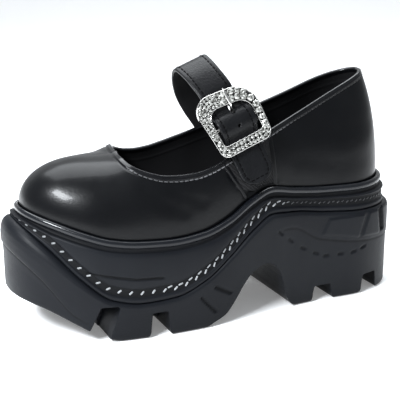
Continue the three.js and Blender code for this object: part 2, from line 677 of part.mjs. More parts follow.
function goreWindow(shrink) {
  const corner = (row) => new THREE.Vector2(toX(row.at) + row.towards * shrink, COLLAR_HEIGHT * row.up);
  return sidePrism(new THREE.Shape(GORE.map(corner)), -2 * BALL_HALF, 0);
}

const makeUpper = () => upperShell(0, WALL).subtract(goreWindow(0));
const makeGore = () => upperShell(GORE_INSET, WALL).intersect(goreWindow(CLEAR));

// Directions of the strap: along its width, and square to that upwards
const strapAcross = new THREE.Vector3(Math.cos(STRAP_LEAN), 0, Math.sin(STRAP_LEAN));
const strapUp = new THREE.Vector3(-Math.sin(STRAP_LEAN), 0, Math.cos(STRAP_LEAN));

function strapPoint(back, y, up) {
  const point = strapAcross.clone().multiplyScalar(STRAP_AT + back).addScaledVector(strapUp, up);
  point.y = y;
  return point;
}

// Inward distance and height of a point that lies down from the buckle's middle and out from its back
function buckleSide(down, out) {
  const sine = Math.sin(BUCKLE_LEAN);
  const cosine = Math.cos(BUCKLE_LEAN);
  return [-BUCKLE_OUT - down * sine - out * cosine, BUCKLE_UP - down * cosine + out * sine];
}

// Middle line of the strap as points of set back, distance inward and height
function strapLine() {
  const free = STRAP.map(
    (row) => new THREE.Vector3(row.back * STRAP_WIDE, row.inward * STRAP_HALF_SPAN, row.up * STRAP_TOP),
  );
  const held = THREADING.map((row) => {
    const [y, up] = buckleSide(row.down * BUCKLE_LONG, row.out * BUCKLE_THICK);
    return new THREE.Vector3(row.back * STRAP_WIDE, y, up);
  });
  return new THREE.CatmullRomCurve3([...free, ...held], false, "centripetal");
}

// Length of a curve up to each of its evenly numbered stations
function lengthsAlong(line, stations) {
  const parts = 12;
  const lengths = [0];
  for (let i = 1; i < stations; i++) {
    let sum = lengths[i - 1];
    for (let k = 0; k < parts; k++) {
      const from = line.getPoint((i - 1 + k / parts) / (stations - 1));
      sum += from.distanceTo(line.getPoint((i - 1 + (k + 1) / parts) / (stations - 1)));
    }
    lengths.push(sum);
  }
  return lengths;
}

// Both faces of the strap at one station, each from its front edge to its back edge
const STRAP_COLUMNS = [-1, -0.5, 0, 0.5, 1];
function strapFaces(line, t, half) {
  const centre = line.getPoint(t);
  const ahead = line.getTangent(t);
  const run = Math.hypot(ahead.y, ahead.z);
  const [yOut, upOut] = [ahead.z / run, -ahead.y / run];
  const face = (depth) =>
    STRAP_COLUMNS.map((share) =>
      strapPoint(centre.x + share * half, centre.y + yOut * depth, centre.z + upOut * depth),
    );
  const faces = { inner: face(-STRAP_THICK / 2), outer: face(STRAP_THICK / 2) };
  // Where the strap lies against the shoe it follows the leather
  faces.inner.forEach((point, i) => {
    const side = point.y > 0 ? INNER : OUTER;
    const clear = sideY(point.x, point.z, side) + side * CLEAR;
    const push = side * Math.max(0, side * (clear - point.y));
    point.y += push;
    faces.outer[i].y += push;
  });
  return faces;
}

function makeStrap() {
  const line = strapLine();
  const stations = 2 * line.points.length - 1;
  const lengths = lengthsAlong(line, stations);
  const total = lengths[stations - 1];
  const sections = lengths.map((length, i) => {
    const left = clamp((total - length) / TAIL_ROUND, TAIL_BLUNT, 1);
    const taper = 1 - STRAP_TAPER * clamp((length / total - TAPER_FROM) / TAPER_OVER, 0, 1);
    const half = (STRAP_WIDE / 2) * taper * Math.sqrt(1 - (1 - left) ** 2);
    return strapFaces(line, i / (stations - 1), half);
  });
  const across = STRAP_COLUMNS.length;
  const points = sections.flatMap(({ inner, outer }) => [...outer, ...[...inner].reverse()]);
  const size = 2 * across;
  const faces = [];
  for (let row = 0; row + 1 < stations; row++)
    for (let i = 0; i < size; i++) {
      const a = row * size + i;
      const b = row * size + ((i + 1) % size);
      faces.push([a, b + size, b], [a, a + size, b + size]);
    }
  const last = (stations - 1) * size;
  for (let i = 0; i + 1 < across; i++) {
    const [a, b, c, d] = [i, i + 1, size - 2 - i, size - 1 - i];
    faces.push([a, b, c], [a, c, d]);
    faces.push([last + a, last + c, last + b], [last + a, last + d, last + c]);
  }
  const band = meshSolid(points.map((point) => point.toArray()), faces);
  const long = (SLOT_TOP - SLOT_LOW) * BUCKLE_LONG;
  const slot = new THREE.BoxGeometry(SLOT_WIDE, long, 8 * STRAP_THICK);
  slot.translate(PRONG_BACK, SLOT_LOW * BUCKLE_LONG + long / 2, 0);
  return band.subtract(seatBuckle(toSolid(slot)));
}

// Turns the buckle's own directions into the shoe's: across, up and out of its plane
function seatBuckle(solid) {
  const [y, up] = buckleSide(0, 0);
  const [yUp, upUp] = buckleSide(-1, 0);
  const [yOut, upOut] = buckleSide(0, 1);
  const lift = strapUp.clone().multiplyScalar(upUp - up).setY(yUp - y);
  const out = strapUp.clone().multiplyScalar(upOut - up).setY(yOut - y);
  const place = new THREE.Matrix4().makeBasis(strapAcross, lift, out);
  place.setPosition(strapPoint(BUCKLE_BACK, y, up));
  return solid.transform(place.toArray());
}

const ARC_PULL = 0.55; // how far a curve's handles reach towards the corner, which makes it nearly a circle
// Closed outline through corners that are rounded over a length on both sides, grown outward a little
function roundCorners(path, corners, grow) {
  const spots = corners.map(
    (row) =>
      new THREE.Vector2(
        row.back * BUCKLE_WIDE + Math.sign(row.back) * grow,
        row.up * BUCKLE_LONG + Math.sign(row.up) * grow,
      ),
  );
  const towards = (from, to, length) => from.clone().add(to.clone().sub(from).setLength(length));
  corners.forEach((row, i) => {
    const spot = spots[i];
    const before = towards(spot, spots[(i + 3) % 4], row.round * BUCKLE_WIDE);
    const after = towards(spot, spots[(i + 1) % 4], row.round * BUCKLE_WIDE);
    const start = i === 0 ? "moveTo" : "lineTo";
    path[start](before.x, before.y);
    const [in1, in2] = [before.clone().lerp(spot, ARC_PULL), after.clone().lerp(spot, ARC_PULL)];
    path.bezierCurveTo(in1.x, in1.y, in2.x, in2.y, after.x, after.y);
  });
  path.closePath();
  return path;
}

function makeBuckleFrame() {
  const shape = roundCorners(new THREE.Shape(), FRAME_CORNERS, -BUCKLE_BEVEL);
  shape.holes.push(roundCorners(new THREE.Path(), WINDOW_CORNERS, BUCKLE_BEVEL));
  const flat = new THREE.ExtrudeGeometry(shape, {
    depth: BUCKLE_THICK - 2 * BUCKLE_BEVEL,
    bevelThickness: BUCKLE_BEVEL,
    bevelSize: BUCKLE_BEVEL,
    bevelSegments: 1,
    curveSegments: 5,
  });
  flat.translate(0, 0, BUCKLE_BEVEL);
  const pin = new THREE.CylinderGeometry(PIN_RADIUS, PIN_RADIUS, PIN_SPAN, 12);
  pin.rotateZ(Math.PI / 2);
  pin.translate(0, -PIN_DOWN, -PIN_DEPTH);
  return seatBuckle(toSolid(flat).add(toSolid(pin)));
}

function makeProng() {
  const points = PRONG.map(
    (row) => new THREE.Vector3(PRONG_BACK, -row.down * BUCKLE_LONG, row.out * BUCKLE_THICK),
  );
  const line = new THREE.CatmullRomCurve3(points, false, "centripetal");
  const ends = [points[0], points[points.length - 1]].map((end) => {
    const ball = new THREE.SphereGeometry(PRONG_RADIUS, 8, 5);
    ball.translate(...end.toArray());
    return toSolid(ball);
  });
  const across = (radius, length) => {
    const bar = new THREE.CylinderGeometry(radius, radius, length, 14);
    bar.rotateZ(Math.PI / 2);
    bar.translate(PRONG_BACK, -PIN_DOWN, -PIN_DEPTH);
    return toSolid(bar);
  };
  const eye = across(PIN_RADIUS + CLEAR + EYE_WALL, 2 * PRONG_RADIUS);
  const wire = tubeSolid(line, 14, PRONG_RADIUS, 8).add(ends[0]).add(ends[1]);
  const pinHole = across(PIN_RADIUS + CLEAR, 4 * PRONG_RADIUS);
  return seatBuckle(wire.add(eye).subtract(pinHole));
}

function makeInsole() {
  const edge = () => -WALL - 2 * CLEAR;
  const low = (at) => bedZ(at) + CLEAR;
  const rows = [
    [edge, low],
    [edge, (at) => low(at) + INSOLE_THICK - INSOLE_ROUND],
    [(at) => edge(at) - INSOLE_ROUND, (at) => low(at) + INSOLE_THICK],
  ];
  return ringSolid(rows.map(([out, height]) => soleRing(out, height)));
}

const finishes = {
  leather: new THREE.MeshStandardMaterial({ color: 0x17181a, roughness: 0.35 }),
  rubber: new THREE.MeshStandardMaterial({ color: 0x1c1e21, roughness: 0.55 }),
  lining: new THREE.MeshStandardMaterial({ color: 0x121317, roughness: 0.8 }),
  elastic: new THREE.MeshStandardMaterial({ color: 0x141416, roughness: 0.9 }),
  metal: new THREE.MeshStandardMaterial({ color: 0xd8d8d6, roughness: 0.2, metalness: 1 }),
};

const shoe = new THREE.Group();
function add(name, solid, finish) {
  const mesh = new THREE.Mesh(toGeometry(solid), finish);
  mesh.name = name;
  shoe.add(mesh);
}

add("outsole", makeOutsole(), finishes.rubber);
add("midsole", makeMidsole(), finishes.rubber);
add("insole", makeInsole(), finishes.lining);
add("upper", makeUpper(), finishes.leather);
add("gore", makeGore(), finishes.elastic);
add("strap", makeStrap(), finishes.leather);
add("buckle_frame", makeBuckleFrame(), finishes.metal);
add("buckle_prong", makeProng(), finishes.metal);

// The middle of the whole shoe's length and width goes to the origin
const middle = new THREE.Box3().setFromObject(shoe).getCenter(new THREE.Vector3());
for (const mesh of shoe.children) mesh.geometry.translate(-middle.x, -middle.y, 0);

export default shoe;
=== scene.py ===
import json
import math

import bmesh
import bpy
import numpy as np
from mathutils import Matrix, Quaternion, Vector

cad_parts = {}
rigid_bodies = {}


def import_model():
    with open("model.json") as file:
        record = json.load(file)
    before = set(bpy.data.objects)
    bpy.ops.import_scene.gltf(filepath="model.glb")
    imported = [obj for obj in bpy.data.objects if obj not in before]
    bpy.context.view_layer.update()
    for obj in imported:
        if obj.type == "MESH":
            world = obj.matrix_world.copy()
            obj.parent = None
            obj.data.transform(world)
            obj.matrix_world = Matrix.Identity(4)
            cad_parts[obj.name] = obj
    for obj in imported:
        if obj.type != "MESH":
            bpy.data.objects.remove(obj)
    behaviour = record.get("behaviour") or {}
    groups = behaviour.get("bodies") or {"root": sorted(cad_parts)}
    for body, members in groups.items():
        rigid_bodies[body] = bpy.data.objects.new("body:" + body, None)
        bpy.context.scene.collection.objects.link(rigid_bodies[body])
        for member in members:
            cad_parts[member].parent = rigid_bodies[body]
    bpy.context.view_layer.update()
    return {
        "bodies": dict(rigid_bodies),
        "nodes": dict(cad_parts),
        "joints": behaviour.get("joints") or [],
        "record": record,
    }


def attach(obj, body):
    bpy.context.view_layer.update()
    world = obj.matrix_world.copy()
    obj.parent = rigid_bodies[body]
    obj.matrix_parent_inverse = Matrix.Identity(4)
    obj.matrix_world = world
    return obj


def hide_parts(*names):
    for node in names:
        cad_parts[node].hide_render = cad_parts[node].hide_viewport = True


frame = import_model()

# A left platform Mary Jane in polished black leather on a chunky rubber sole. Lengths are in millimetres on
# the last, X from the toe to the heel, -Y the outer side, +Z up, and become metres as a piece is made.
LAST_TO_FRAME = (2.53, -0.009, 0.0)

LAST_LENGTH = 245.0
LAST_MIDDLE_X = -1.5
BALL_HALF = 43.0
TOE_ROUND = 60.0
TOE_BLUNT = 2.3
HEEL_ROUND = 40.0
HEEL_BLUNT = 2.2
RIDGE_HEIGHT = 172.0
TOE_PULL = 42.0
HEEL_PULL = 35.0

WALL = 2.0
THROAT_X = -65.5
COLLAR_BACK_X = 113.0
COLLAR_HEIGHT = 148.3
OPENING_TURN = 0.2

HEEL_SEAT = 78.0
CLEAR = 0.3
RIM_PROUD = 4.0
RIM_TALL = 4.4
BEAD_STEP = 1.3
BAND_TALL = 2.6
BELLY_PROUD = 2.0
CHANNEL_RISE = 9.4
CHANNEL_TALL = 6.0
CHANNEL_DEEP = 1.3
LEAST_BELLY = 1.0
OUTSOLE_PROUD = 7.0
OUTSOLE_LIP = 2.6
TOE_BUMPER = 5.0
BUMPER_END = 0.24
BUMPER_ABOVE = 0.35
TREAD_DEEP = 11.0
LUG_REACH = 19.0
CENTRE_TREAD = 4.0
GAP_LEAN = 0.8
GAP_ROUND = 3.0
LUG_ROUND = 3.5
LUG_ROUND_TALL = 6.0
EDGE_ROUND = 2.2
BEYOND = 5.0
EDGE_SLOPE = 0.4
INSOLE_THICK = 3.0

STRAP_LEAN = 0.379
STRAP_AT = 46.6
STRAP_TOP = 150.0
STRAP_HALF_SPAN = 28.0
STRAP_WIDE = 24.0
STRAP_THICK = 2.2
STRAP_TAPER = 0.08
TAIL_ROUND = 9.0

BUCKLE_LEAN = 0.445
BUCKLE_OUT = 30.5
BUCKLE_UP = 116.1
BUCKLE_BACK = 1.2
BUCKLE_WIDE = 40.0
BUCKLE_LONG = 40.0
BUCKLE_THICK = 3.0
PIN_RADIUS = 1.0
PIN_LONG = 30.0
PIN_DOWN = 2.2
PIN_DEPTH = 0.6
PRONG_RADIUS = 0.95
PRONG_BACK = 1.6
EYE_WALL = 0.8


def table(columns, *rows):
    """Rows of a size table as one array for each named column."""
    return {name: np.array(values, float) for name, values in zip(columns.split(), zip(*rows))}


OUTLINE = table(
    "at half middle",
    (0, 0.85, 0.12), (0.06, 0.895, 0.1), (0.15, 0.96, 0.05), (0.28, 0.995, 0.005), (0.38, 0.96, -0.04),
    (0.5, 0.855, -0.075), (0.62, 0.76, -0.06), (0.75, 0.735, -0.025), (0.88, 0.75, -0.01), (1, 0.76, 0),
)
SOLE = table(
    "at rim bed wave proud swell",
    (0, 0.985, 0.85, 0.9, 0.8, 0.4), (0.051, 0.93, 0.8, 0.71, 0.9, 0.4), (0.111, 0.86, 0.745, 0.49, 1, 0.7),
    (0.172, 0.8, 0.71, 0.33, 1, 1), (0.243, 0.77, 0.685, 0.285, 1, 1), (0.324, 0.76, 0.68, 0.3, 1, 1),
    (0.405, 0.785, 0.7, 0.4, 1, 1), (0.476, 0.86, 0.75, 0.56, 1, 0.8), (0.547, 0.99, 0.82, 0.735, 1, 0.4),
    (0.607, 1.055, 0.88, 0.83, 1, 0.4), (0.678, 1.02, 0.915, 0.82, 1, 0.5),
    (0.769, 0.99, 0.925, 0.78, 1, 0.6),
    (0.891, 0.98, 0.925, 0.75, 1, 0.7), (1, 0.995, 0.925, 0.745, 0.93, 1.05),
)
TREAD = table(
    "at under ledge step out",
    (0, 0.31, 0.69, 1.2, 1), (0.04, 0.255, 0.505, 1.2, 1), (0.101, 0.135, 0.22, 0.6, 1),
    (0.152, 0.035, 0.14, 0, 1), (0.192, 0, 0.14, 0, 1), (0.506, 0, 0.35, 0, 1), (0.607, 0, 0.7, 0, 1),
    (0.66, 0, 0.7, 0.8, 1), (0.754, 0, 0.565, 0.8, 1), (0.911, 0, 0.485, 0.8, 1.1), (1, 0, 0.47, 0.5, 1.42),
)
LAST = table(
    "at ridge full steep",
    (0, 0.602, 2.3, 2.3), (0.17, 0.604, 2.5, 2.4), (0.23, 0.607, 2.7, 2.5), (0.3, 0.642, 2.8, 2.7),
    (0.4, 0.686, 2.8, 3), (0.5, 0.744, 2.6, 3.2), (0.6, 0.808, 2.25, 3.2), (0.7, 0.866, 1.95, 3),
    (0.8, 0.93, 1.7, 2.6), (0.9, 1, 1.55, 2.3), (1, 1.02, 1.5, 2.2),
)
TOPLINE = table(
    "at outer inner",
    (0, 0.715, 0.715), (0.012, 0.707, 0.697), (0.03, 0.691, 0.681), (0.06, 0.674, 0.669), (0.1, 0.658, 0.666),
    (0.15, 0.645, 0.673), (0.2, 0.642, 0.689), (0.26, 0.646, 0.712), (0.32, 0.662, 0.735),
    (0.4, 0.701, 0.763), (0.5, 0.756, 0.799), (0.6, 0.806, 0.838), (0.7, 0.855, 0.881),
    (0.86, 0.938, 0.953), (1, 1, 1),
)
# Front, back, share of the tread's depth, and how far the roof is slanted back
LUG_GAPS = ((0.097, 0.151, 2.05, 8), (0.256, 0.304, 1.45, 0), (0.737, 0.796, 1.0, 0), (0.893, 0.949, 1.2, 0))
ARCH = table(
    "at rise",
    (0.397, -0.05), (0.405, 0), (0.461, 0.09), (0.491, 0.2), (0.516, 0.31), (0.547, 0.4), (0.582, 0.435),
    (0.612, 0.4), (0.633, 0.3), (0.645, 0.17), (0.656, 0.08), (0.669, 0.027), (0.69, 0), (0.7, -0.02),
)
GORE = ((0.4, 0.877), (0.61, 0.877), (0.635, 0.337), (0.602, 0.337))
STRAP = table(
    "up inward back",
    (0.507, 1.1, 0.4), (0.56, 1.08, 0.375), (0.62, 1.03, 0.333), (0.687, 0.99, 0.27), (0.763, 0.957, 0.15),
    (0.847, 0.868, 0.054), (0.923, 0.643, 0.01), (0.973, 0.418, 0), (0.999, 0.16, 0), (0.982, -0.16, 0),
    (0.949, -0.436, 0),
)
THREADING = table(
    "down out back",
    (-0.539, -0.53, 0.012), (-0.444, -0.53, 0.012), (-0.23, -0.53, 0.012), (-0.145, -0.2, 0.01),
    (-0.075, 0.55, 0.005), (-0.006, 0.98, 0), (0.106, 0.98, 0), (0.17, 0.62, 0), (0.24, -0.1, -0.005),
    (0.316, -0.52, -0.01), (0.506, -0.53, -0.025), (0.638, -0.5, -0.04), (0.79, -0.3, -0.065),
    (0.933, 0, -0.09), (1.05, 0.35, -0.11),
)
PRONG = table(
    "down out",
    (0.008, -0.2), (-0.082, -0.2), (-0.145, 0.23), (-0.228, 1.3), (-0.28, 1.42), (-0.49, 1.42),
)
FRAME_CORNERS = ((-0.46, -0.5, 0.13), (0.435, -0.5, 0.15), (0.52, 0.43, 0.4), (-0.53, 0.525, 0.33))
WINDOW_CORNERS = ((-0.352, -0.328, 0.06), (0.335, -0.328, 0.06), (0.35, 0.205, 0.2), (-0.35, 0.267, 0.2))

SOLE_COLUMNS = 640
MIDSOLE_ROWS = 96
OUTSOLE_ROWS = 84
UPPER_COLUMNS = 200  # on each side
UPPER_FRONT_COLUMNS = 62
UPPER_ROWS = 74
SOCK_COLUMNS = 360


class Value:
    """A socket of a material's nodes, so that shader maths reads as ordinary maths."""

    def __init__(self, finish, socket):
        self.finish = finish
        self.socket = socket

    def math(self, operation, *others):
        return self.finish.node("ShaderNodeMath", {"operation": operation}, *[self, *others])

    def __add__(self, other):
        return self.math("ADD", other)

    __radd__ = __add__

    def __sub__(self, other):
        return self.math("SUBTRACT", other)

    def __rsub__(self, other):
        return self.finish.node("ShaderNodeMath", {"operation": "SUBTRACT"}, other, self)

    def __mul__(self, other):
        return self.math("MULTIPLY", other)

    __rmul__ = __mul__

    def above(self, low, high):
        """0 below low, 1 above high and a smooth rise between them."""
        settings = {"interpolation_type": "SMOOTHSTEP"}
        return self.finish.node("ShaderNodeMapRange", settings, self, low, high, 0.0, 1.0)


class Finish:
    """A node material on the standard shader. Its sockets take numbers, colours and Values."""

    def __init__(self, name, **fixed):
        self.material = bpy.data.materials.new(name)
        self.material.use_nodes = True
        self.tree = self.material.node_tree
        self.shader = self.tree.nodes["Principled BSDF"]
        for socket, value in fixed.items():
            self.shader.inputs[socket.replace("_", " ")].default_value = value

    def node(self, kind, settings, *inputs, output=0, **named):
        made = self.tree.nodes.new(kind)
        for key, value in settings.items():
            setattr(made, key, value)
        for key, value in [*enumerate(inputs), *named.items()]:
            socket = made.inputs[key if isinstance(key, int) else key.replace("_", " ")]
            self.feed(value, socket)
        return Value(self, made.outputs[output])

    def feed(self, value, socket):
        if isinstance(value, Value):
            self.tree.links.new(value.socket, socket)
        else:
            socket.default_value = value

    def place(self):
        return self.node("ShaderNodeTexCoord", {}, output="Object")

    def place_along(self, axis):
        return self.node("ShaderNodeSeparateXYZ", {}, self.place(), output=axis)

    def noise(self, scale, detail=2.0, roughness=0.5):
        fixed = {"Scale": scale, "Detail": detail, "Roughness": roughness}
        return self.node("ShaderNodeTexNoise", {}, Vector=self.place(), **fixed)

    def pebbles(self, scale):
        return self.node("ShaderNodeTexVoronoi", {"feature": "F1"}, Vector=self.place(), Scale=scale)

    def mix(self, factor, first, second):
        """A colour between two, by a factor."""
        made = self.tree.nodes.new("ShaderNodeMix")
        made.data_type = "RGBA"
        for value, socket in ((factor, 0), (first, 6), (second, 7)):
            self.feed((*value, 1.0) if isinstance(value, tuple) else value, made.inputs[socket])
        return Value(self, made.outputs[2])

    def stored(self, name):
        """A number that the piece's mesh carries for each point."""
        return self.node("ShaderNodeAttribute", {"attribute_name": name}, output="Fac")

    def bump(self, height, depth, normal=None):
        """Relief of some metres' depth where height goes from 0 to 1."""
        named = {"Height": height, "Distance": depth, "Strength": 1.0}
        if normal:
            named["Normal"] = normal
        return self.node("ShaderNodeBump", {}, **named)

    def finish(self, **varying):
        for socket, value in varying.items():
            self.feed(value, self.shader.inputs[socket.replace("_", " ")])
        return self.material


def polished_leather():
    finish = Finish("polished black leather", Specular_IOR_Level=0.15, Coat_Roughness=0.08)
    grain = finish.pebbles(900.0)
    pores = finish.noise(1600.0, 3.0)
    soft = finish.noise(28.0, 2.0)
    worn = finish.noise(160.0, 4.0, 0.6)
    edge = finish.stored("edge")
    colour = finish.mix(soft.above(0.3, 0.75), (0.0018, 0.002, 0.0026), (0.003, 0.0032, 0.0038))
    # Painted highlight: the folded top edge is painted a little lighter, beside its real lower roughness and
    # extra coat.
    colour = finish.mix(edge * 0.5, colour, (0.006, 0.006, 0.007))
    relief = grain * 0.5 + pores * 0.5
    normal = finish.bump(relief, 0.000035)
    normal = finish.bump(worn, 0.00012, normal)
    roughness = 0.25 + worn * 0.1 - edge * 0.1
    return finish.finish(Base_Color=colour, Roughness=roughness, Coat_Weight=0.08 + edge * 0.3, Normal=normal)


def strap_leather():
    finish = Finish("fine grained strap leather", Specular_IOR_Level=0.12, Coat_Roughness=0.2)
    grain = finish.pebbles(750.0)
    fine = finish.noise(2400.0, 3.0)
    soft = finish.noise(60.0, 2.0)
    sunk = finish.stored("sunk")
    colour = finish.mix(soft.above(0.3, 0.7), (0.003, 0.0032, 0.0038), (0.005, 0.0052, 0.006))
    # Painted shade: the stitch grooves are painted darker.
    colour = finish.mix(sunk, colour, (0.0008, 0.0008, 0.001))
    normal = finish.bump(grain * 0.7 + fine * 0.3, 0.0002)
    return finish.finish(Base_Color=colour, Roughness=0.34 + fine * 0.14, Coat_Weight=0.12, Normal=normal)


def strap_backing():
    finish = Finish("black strap backing", Specular_IOR_Level=0.3)
    nap = finish.noise(1500.0, 4.0)
    colour = finish.mix(nap, (0.0012, 0.0012, 0.0016), (0.004, 0.004, 0.0048))
    return finish.finish(Base_Color=colour, Roughness=0.7 + nap * 0.2, Normal=finish.bump(nap, 0.0001))


def black_lining():
    finish = Finish("black lining leather", Specular_IOR_Level=0.25)
    pores = finish.noise(1300.0, 3.0)
    patches = finish.noise(35.0, 2.0)
    colour = finish.mix(patches, (0.001, 0.001, 0.0014), (0.0028, 0.0028, 0.0036))
    normal = finish.bump(pores, 0.00008)
    return finish.finish(Base_Color=colour, Roughness=0.72 + patches * 0.14, Normal=normal)


def sole_rubber():
    finish = Finish("matt moulded rubber", Specular_IOR_Level=0.15, Coat_Roughness=0.15)
    skin = finish.noise(2200.0, 3.0)
    flow = finish.noise(22.0, 2.0)
    cloudy = finish.noise(240.0, 3.0)
    sunk = finish.stored("sunk")
    bead = finish.stored("bead")
    colour = finish.mix(flow.above(0.3, 0.7), (0.004, 0.0047, 0.0066), (0.006, 0.007, 0.0092))
    # Painted shade: sunk places of the sole are painted darker; they are also rougher.
    colour = finish.mix(sunk, colour, (0.002, 0.0022, 0.0028))
    normal = finish.bump(skin, 0.00005)
    normal = finish.bump(cloudy, 0.00006, normal)
    roughness = 0.42 + cloudy * 0.12 + sunk * 0.2 - bead * 0.27
    return finish.finish(Base_Color=colour, Roughness=roughness, Coat_Weight=bead * 0.6, Normal=normal)


def stitch_rubber():
    finish = Finish("raised sole stitches", Specular_IOR_Level=0.6)
    place = finish.place_along("X")
    twist = finish.noise(1800.0, 2.0)
    heel = place.above(0.028, 0.045)
    toe = 1.0 - place.above(-0.112, -0.06)
    # Painted highlight: the stitches are painted light grey in front of the heel, where they glint, less so
    # at the toe, and dark at the heel.
    colour = finish.mix(heel, (0.3, 0.31, 0.32), (0.012, 0.013, 0.015))
    colour = finish.mix(toe * 0.6, colour, (0.1, 0.105, 0.11))
    return finish.finish(Base_Color=colour, Roughness=0.3 + twist * 0.2, Normal=finish.bump(twist, 0.0001))


def black_thread():
    finish = Finish("black thread", Specular_IOR_Level=0.08)
    twist = finish.noise(3500.0, 2.0)
    colour = finish.mix(twist, (0.0004, 0.0004, 0.0005), (0.0015, 0.0015, 0.0018))
    return finish.finish(Base_Color=colour, Roughness=0.7 + twist * 0.3, Normal=finish.bump(twist, 0.0001))


def grey_thread():
    finish = Finish("waxed edge thread", Specular_IOR_Level=0.6)
    twist = finish.noise(3500.0, 2.0)
    place = finish.place_along("X")
    # Painted highlight: the thread is painted lighter towards the waist, where it glints, a little lighter
    # near the throat and dark at the heel.
    light = (0.35 + place.above(-0.04, -0.01) * 0.65) * (1.0 - place.above(0.03, 0.05))
    colour = finish.mix(twist, (0.002, 0.002, 0.0025), (0.006, 0.006, 0.007))
    colour = finish.mix(light * (0.4 + twist * 0.6), colour, (0.16, 0.16, 0.17))
    return finish.finish(Base_Color=colour, Roughness=0.35 + twist * 0.2, Normal=finish.bump(twist, 0.0001))


def ribbed_elastic():
    finish = Finish("ribbed black elastic", Specular_IOR_Level=0.3)
    weave = finish.noise(2600.0, 2.0)
    rib = finish.stored("rib")
    # Painted light and shade: the ribs' crests are painted lighter and the troughs between them darker.
    colour = finish.mix(rib, (0.0015, 0.0015, 0.002), (0.0085, 0.0085, 0.0095))
    normal = finish.bump(rib * 0.8 + weave * 0.2, 0.0003)
    return finish.finish(Base_Color=colour, Roughness=0.6 + weave * 0.25, Normal=normal)


def sock_fabric():
    finish = Finish("black sock lining", Specular_IOR_Level=0.25)
    weave = finish.pebbles(1000.0)
    wear = finish.noise(20.0, 2.0)
    colour = finish.mix(wear, (0.0018, 0.0018, 0.0022), (0.0045, 0.0045, 0.0052))
    return finish.finish(Base_Color=colour, Roughness=0.75 + weave * 0.2, Normal=finish.bump(weave, 0.0002))


def plated_metal():
    finish = Finish("bright plated metal")
    brushed = finish.noise(700.0, 3.0)
    tone = finish.noise(90.0, 2.0)
    colour = finish.mix(tone, (0.62, 0.61, 0.58), (0.78, 0.77, 0.75))
    # Painted shade: the sunk floor of the stone settings is painted near black.
    colour = finish.mix(finish.stored("sunk"), colour, (0.02, 0.02, 0.02))
    normal = finish.bump(brushed, 0.00002)
    return finish.finish(Base_Color=colour, Metallic=1.0, Roughness=0.12 + brushed * 0.12, Normal=normal)


def cut_stone():
    finish = Finish("clear cut stone over foil", Specular_IOR_Level=0.9, Coat_Roughness=0.02)
    spark = finish.noise(800.0, 1.0)
    cloud = finish.noise(420.0, 2.0)
    # Painted sparkle: the stones' colour is spotted light and dark at random, standing in for glints and dark
    # facet reflections.
    colour = finish.mix(spark.above(0.44, 0.6), (0.48, 0.48, 0.455), (0.08, 0.08, 0.07))
    metallic, roughness = 0.3 + cloud * 0.4, 0.04 + cloud * 0.08
    return finish.finish(Base_Color=colour, Metallic=metallic, Roughness=roughness, Coat_Weight=1.0)


def along(rows, column, at):
    """Value of a table's column at a share, on a smooth curve that passes every row and never overshoots."""
    x, y = rows["at"], rows[column]
    rise = np.diff(y) / np.diff(x)
    product = rise[:-1] * rise[1:]
    total = np.where(product > 0, rise[:-1] + rise[1:], 1.0)
    slope = np.concatenate([[rise[0]], np.where(product > 0, 2 * product / total, 0), [rise[-1]]])
    at = np.asarray(at, float)
    i = np.clip(np.searchsorted(x, at, side="right") - 1, 0, len(x) - 2)
    width = x[i + 1] - x[i]
    t = (at - x[i]) / width
    inside = (
        y[i] * (2 * t**3 - 3 * t**2 + 1)
        + slope[i] * width * (t**3 - 2 * t**2 + t)
        + y[i + 1] * (3 * t**2 - 2 * t**3)
        + slope[i + 1] * width * (t**3 - t**2)
    )
    before = y[0] + slope[0] * (at - x[0])
    after = y[-1] + slope[-1] * (at - x[-1])
    return np.where(at <= x[0], before, np.where(at >= x[-1], after, inside))


def smooth(low, high, value):
    """0 below low, 1 above high and a smooth rise between them."""
    t = np.clip((value - low) / (high - low), 0, 1)
    return t * t * (3 - 2 * t)


def to_x(at):
    return (at - 0.5) * LAST_LENGTH + LAST_MIDDLE_X


def to_at(x):
    return (x - LAST_MIDDLE_X) / LAST_LENGTH + 0.5


def at_of(angle):
    return (1 - np.cos(angle)) / 2


def rim_z(at):
    return HEEL_SEAT * along(SOLE, "rim", at)


def bed_z(at):
    return HEEL_SEAT * along(SOLE, "bed", at)


def wave_z(at):
    return HEEL_SEAT * along(SOLE, "wave", at)


def last_outline(angle):
    """The upper's base: angles run from the toe past the outer side to the heel and back inside."""
    at = at_of(angle)
    toe = np.minimum(1, at * LAST_LENGTH / TOE_ROUND)
    heel = np.minimum(1, (1 - at) * LAST_LENGTH / HEEL_ROUND)
    closing = (1 - (1 - toe) ** TOE_BLUNT) ** (1 / TOE_BLUNT)
    closing = closing * (1 - (1 - heel) ** HEEL_BLUNT) ** (1 / HEEL_BLUNT)
    half = BALL_HALF * along(OUTLINE, "half", at) * closing
    side = np.where(np.sin(angle) >= 0, -1, 1)
    return to_x(at), BALL_HALF * along(OUTLINE, "middle", at) + side * half


def outline(angle, out):
    """The base moved outward by some millimetres, square to itself."""
    step = 0.004
    x, y = last_outline(angle)
    x0, y0 = last_outline(angle - step)
    x1, y1 = last_outline(angle + step)
    run = np.hypot(x1 - x0, y1 - y0)
    return x + (y1 - y0) / run * out, y - (x1 - x0) / run * out


def ridge_point(angle):
    at = at_of(angle)
    x = to_x(at) + TOE_PULL * (1 - at) ** 4 - HEEL_PULL * at**4
    share = to_at(x)
    return x, BALL_HALF * along(OUTLINE, "middle", share), RIDGE_HEIGHT * along(LAST, "ridge", share)


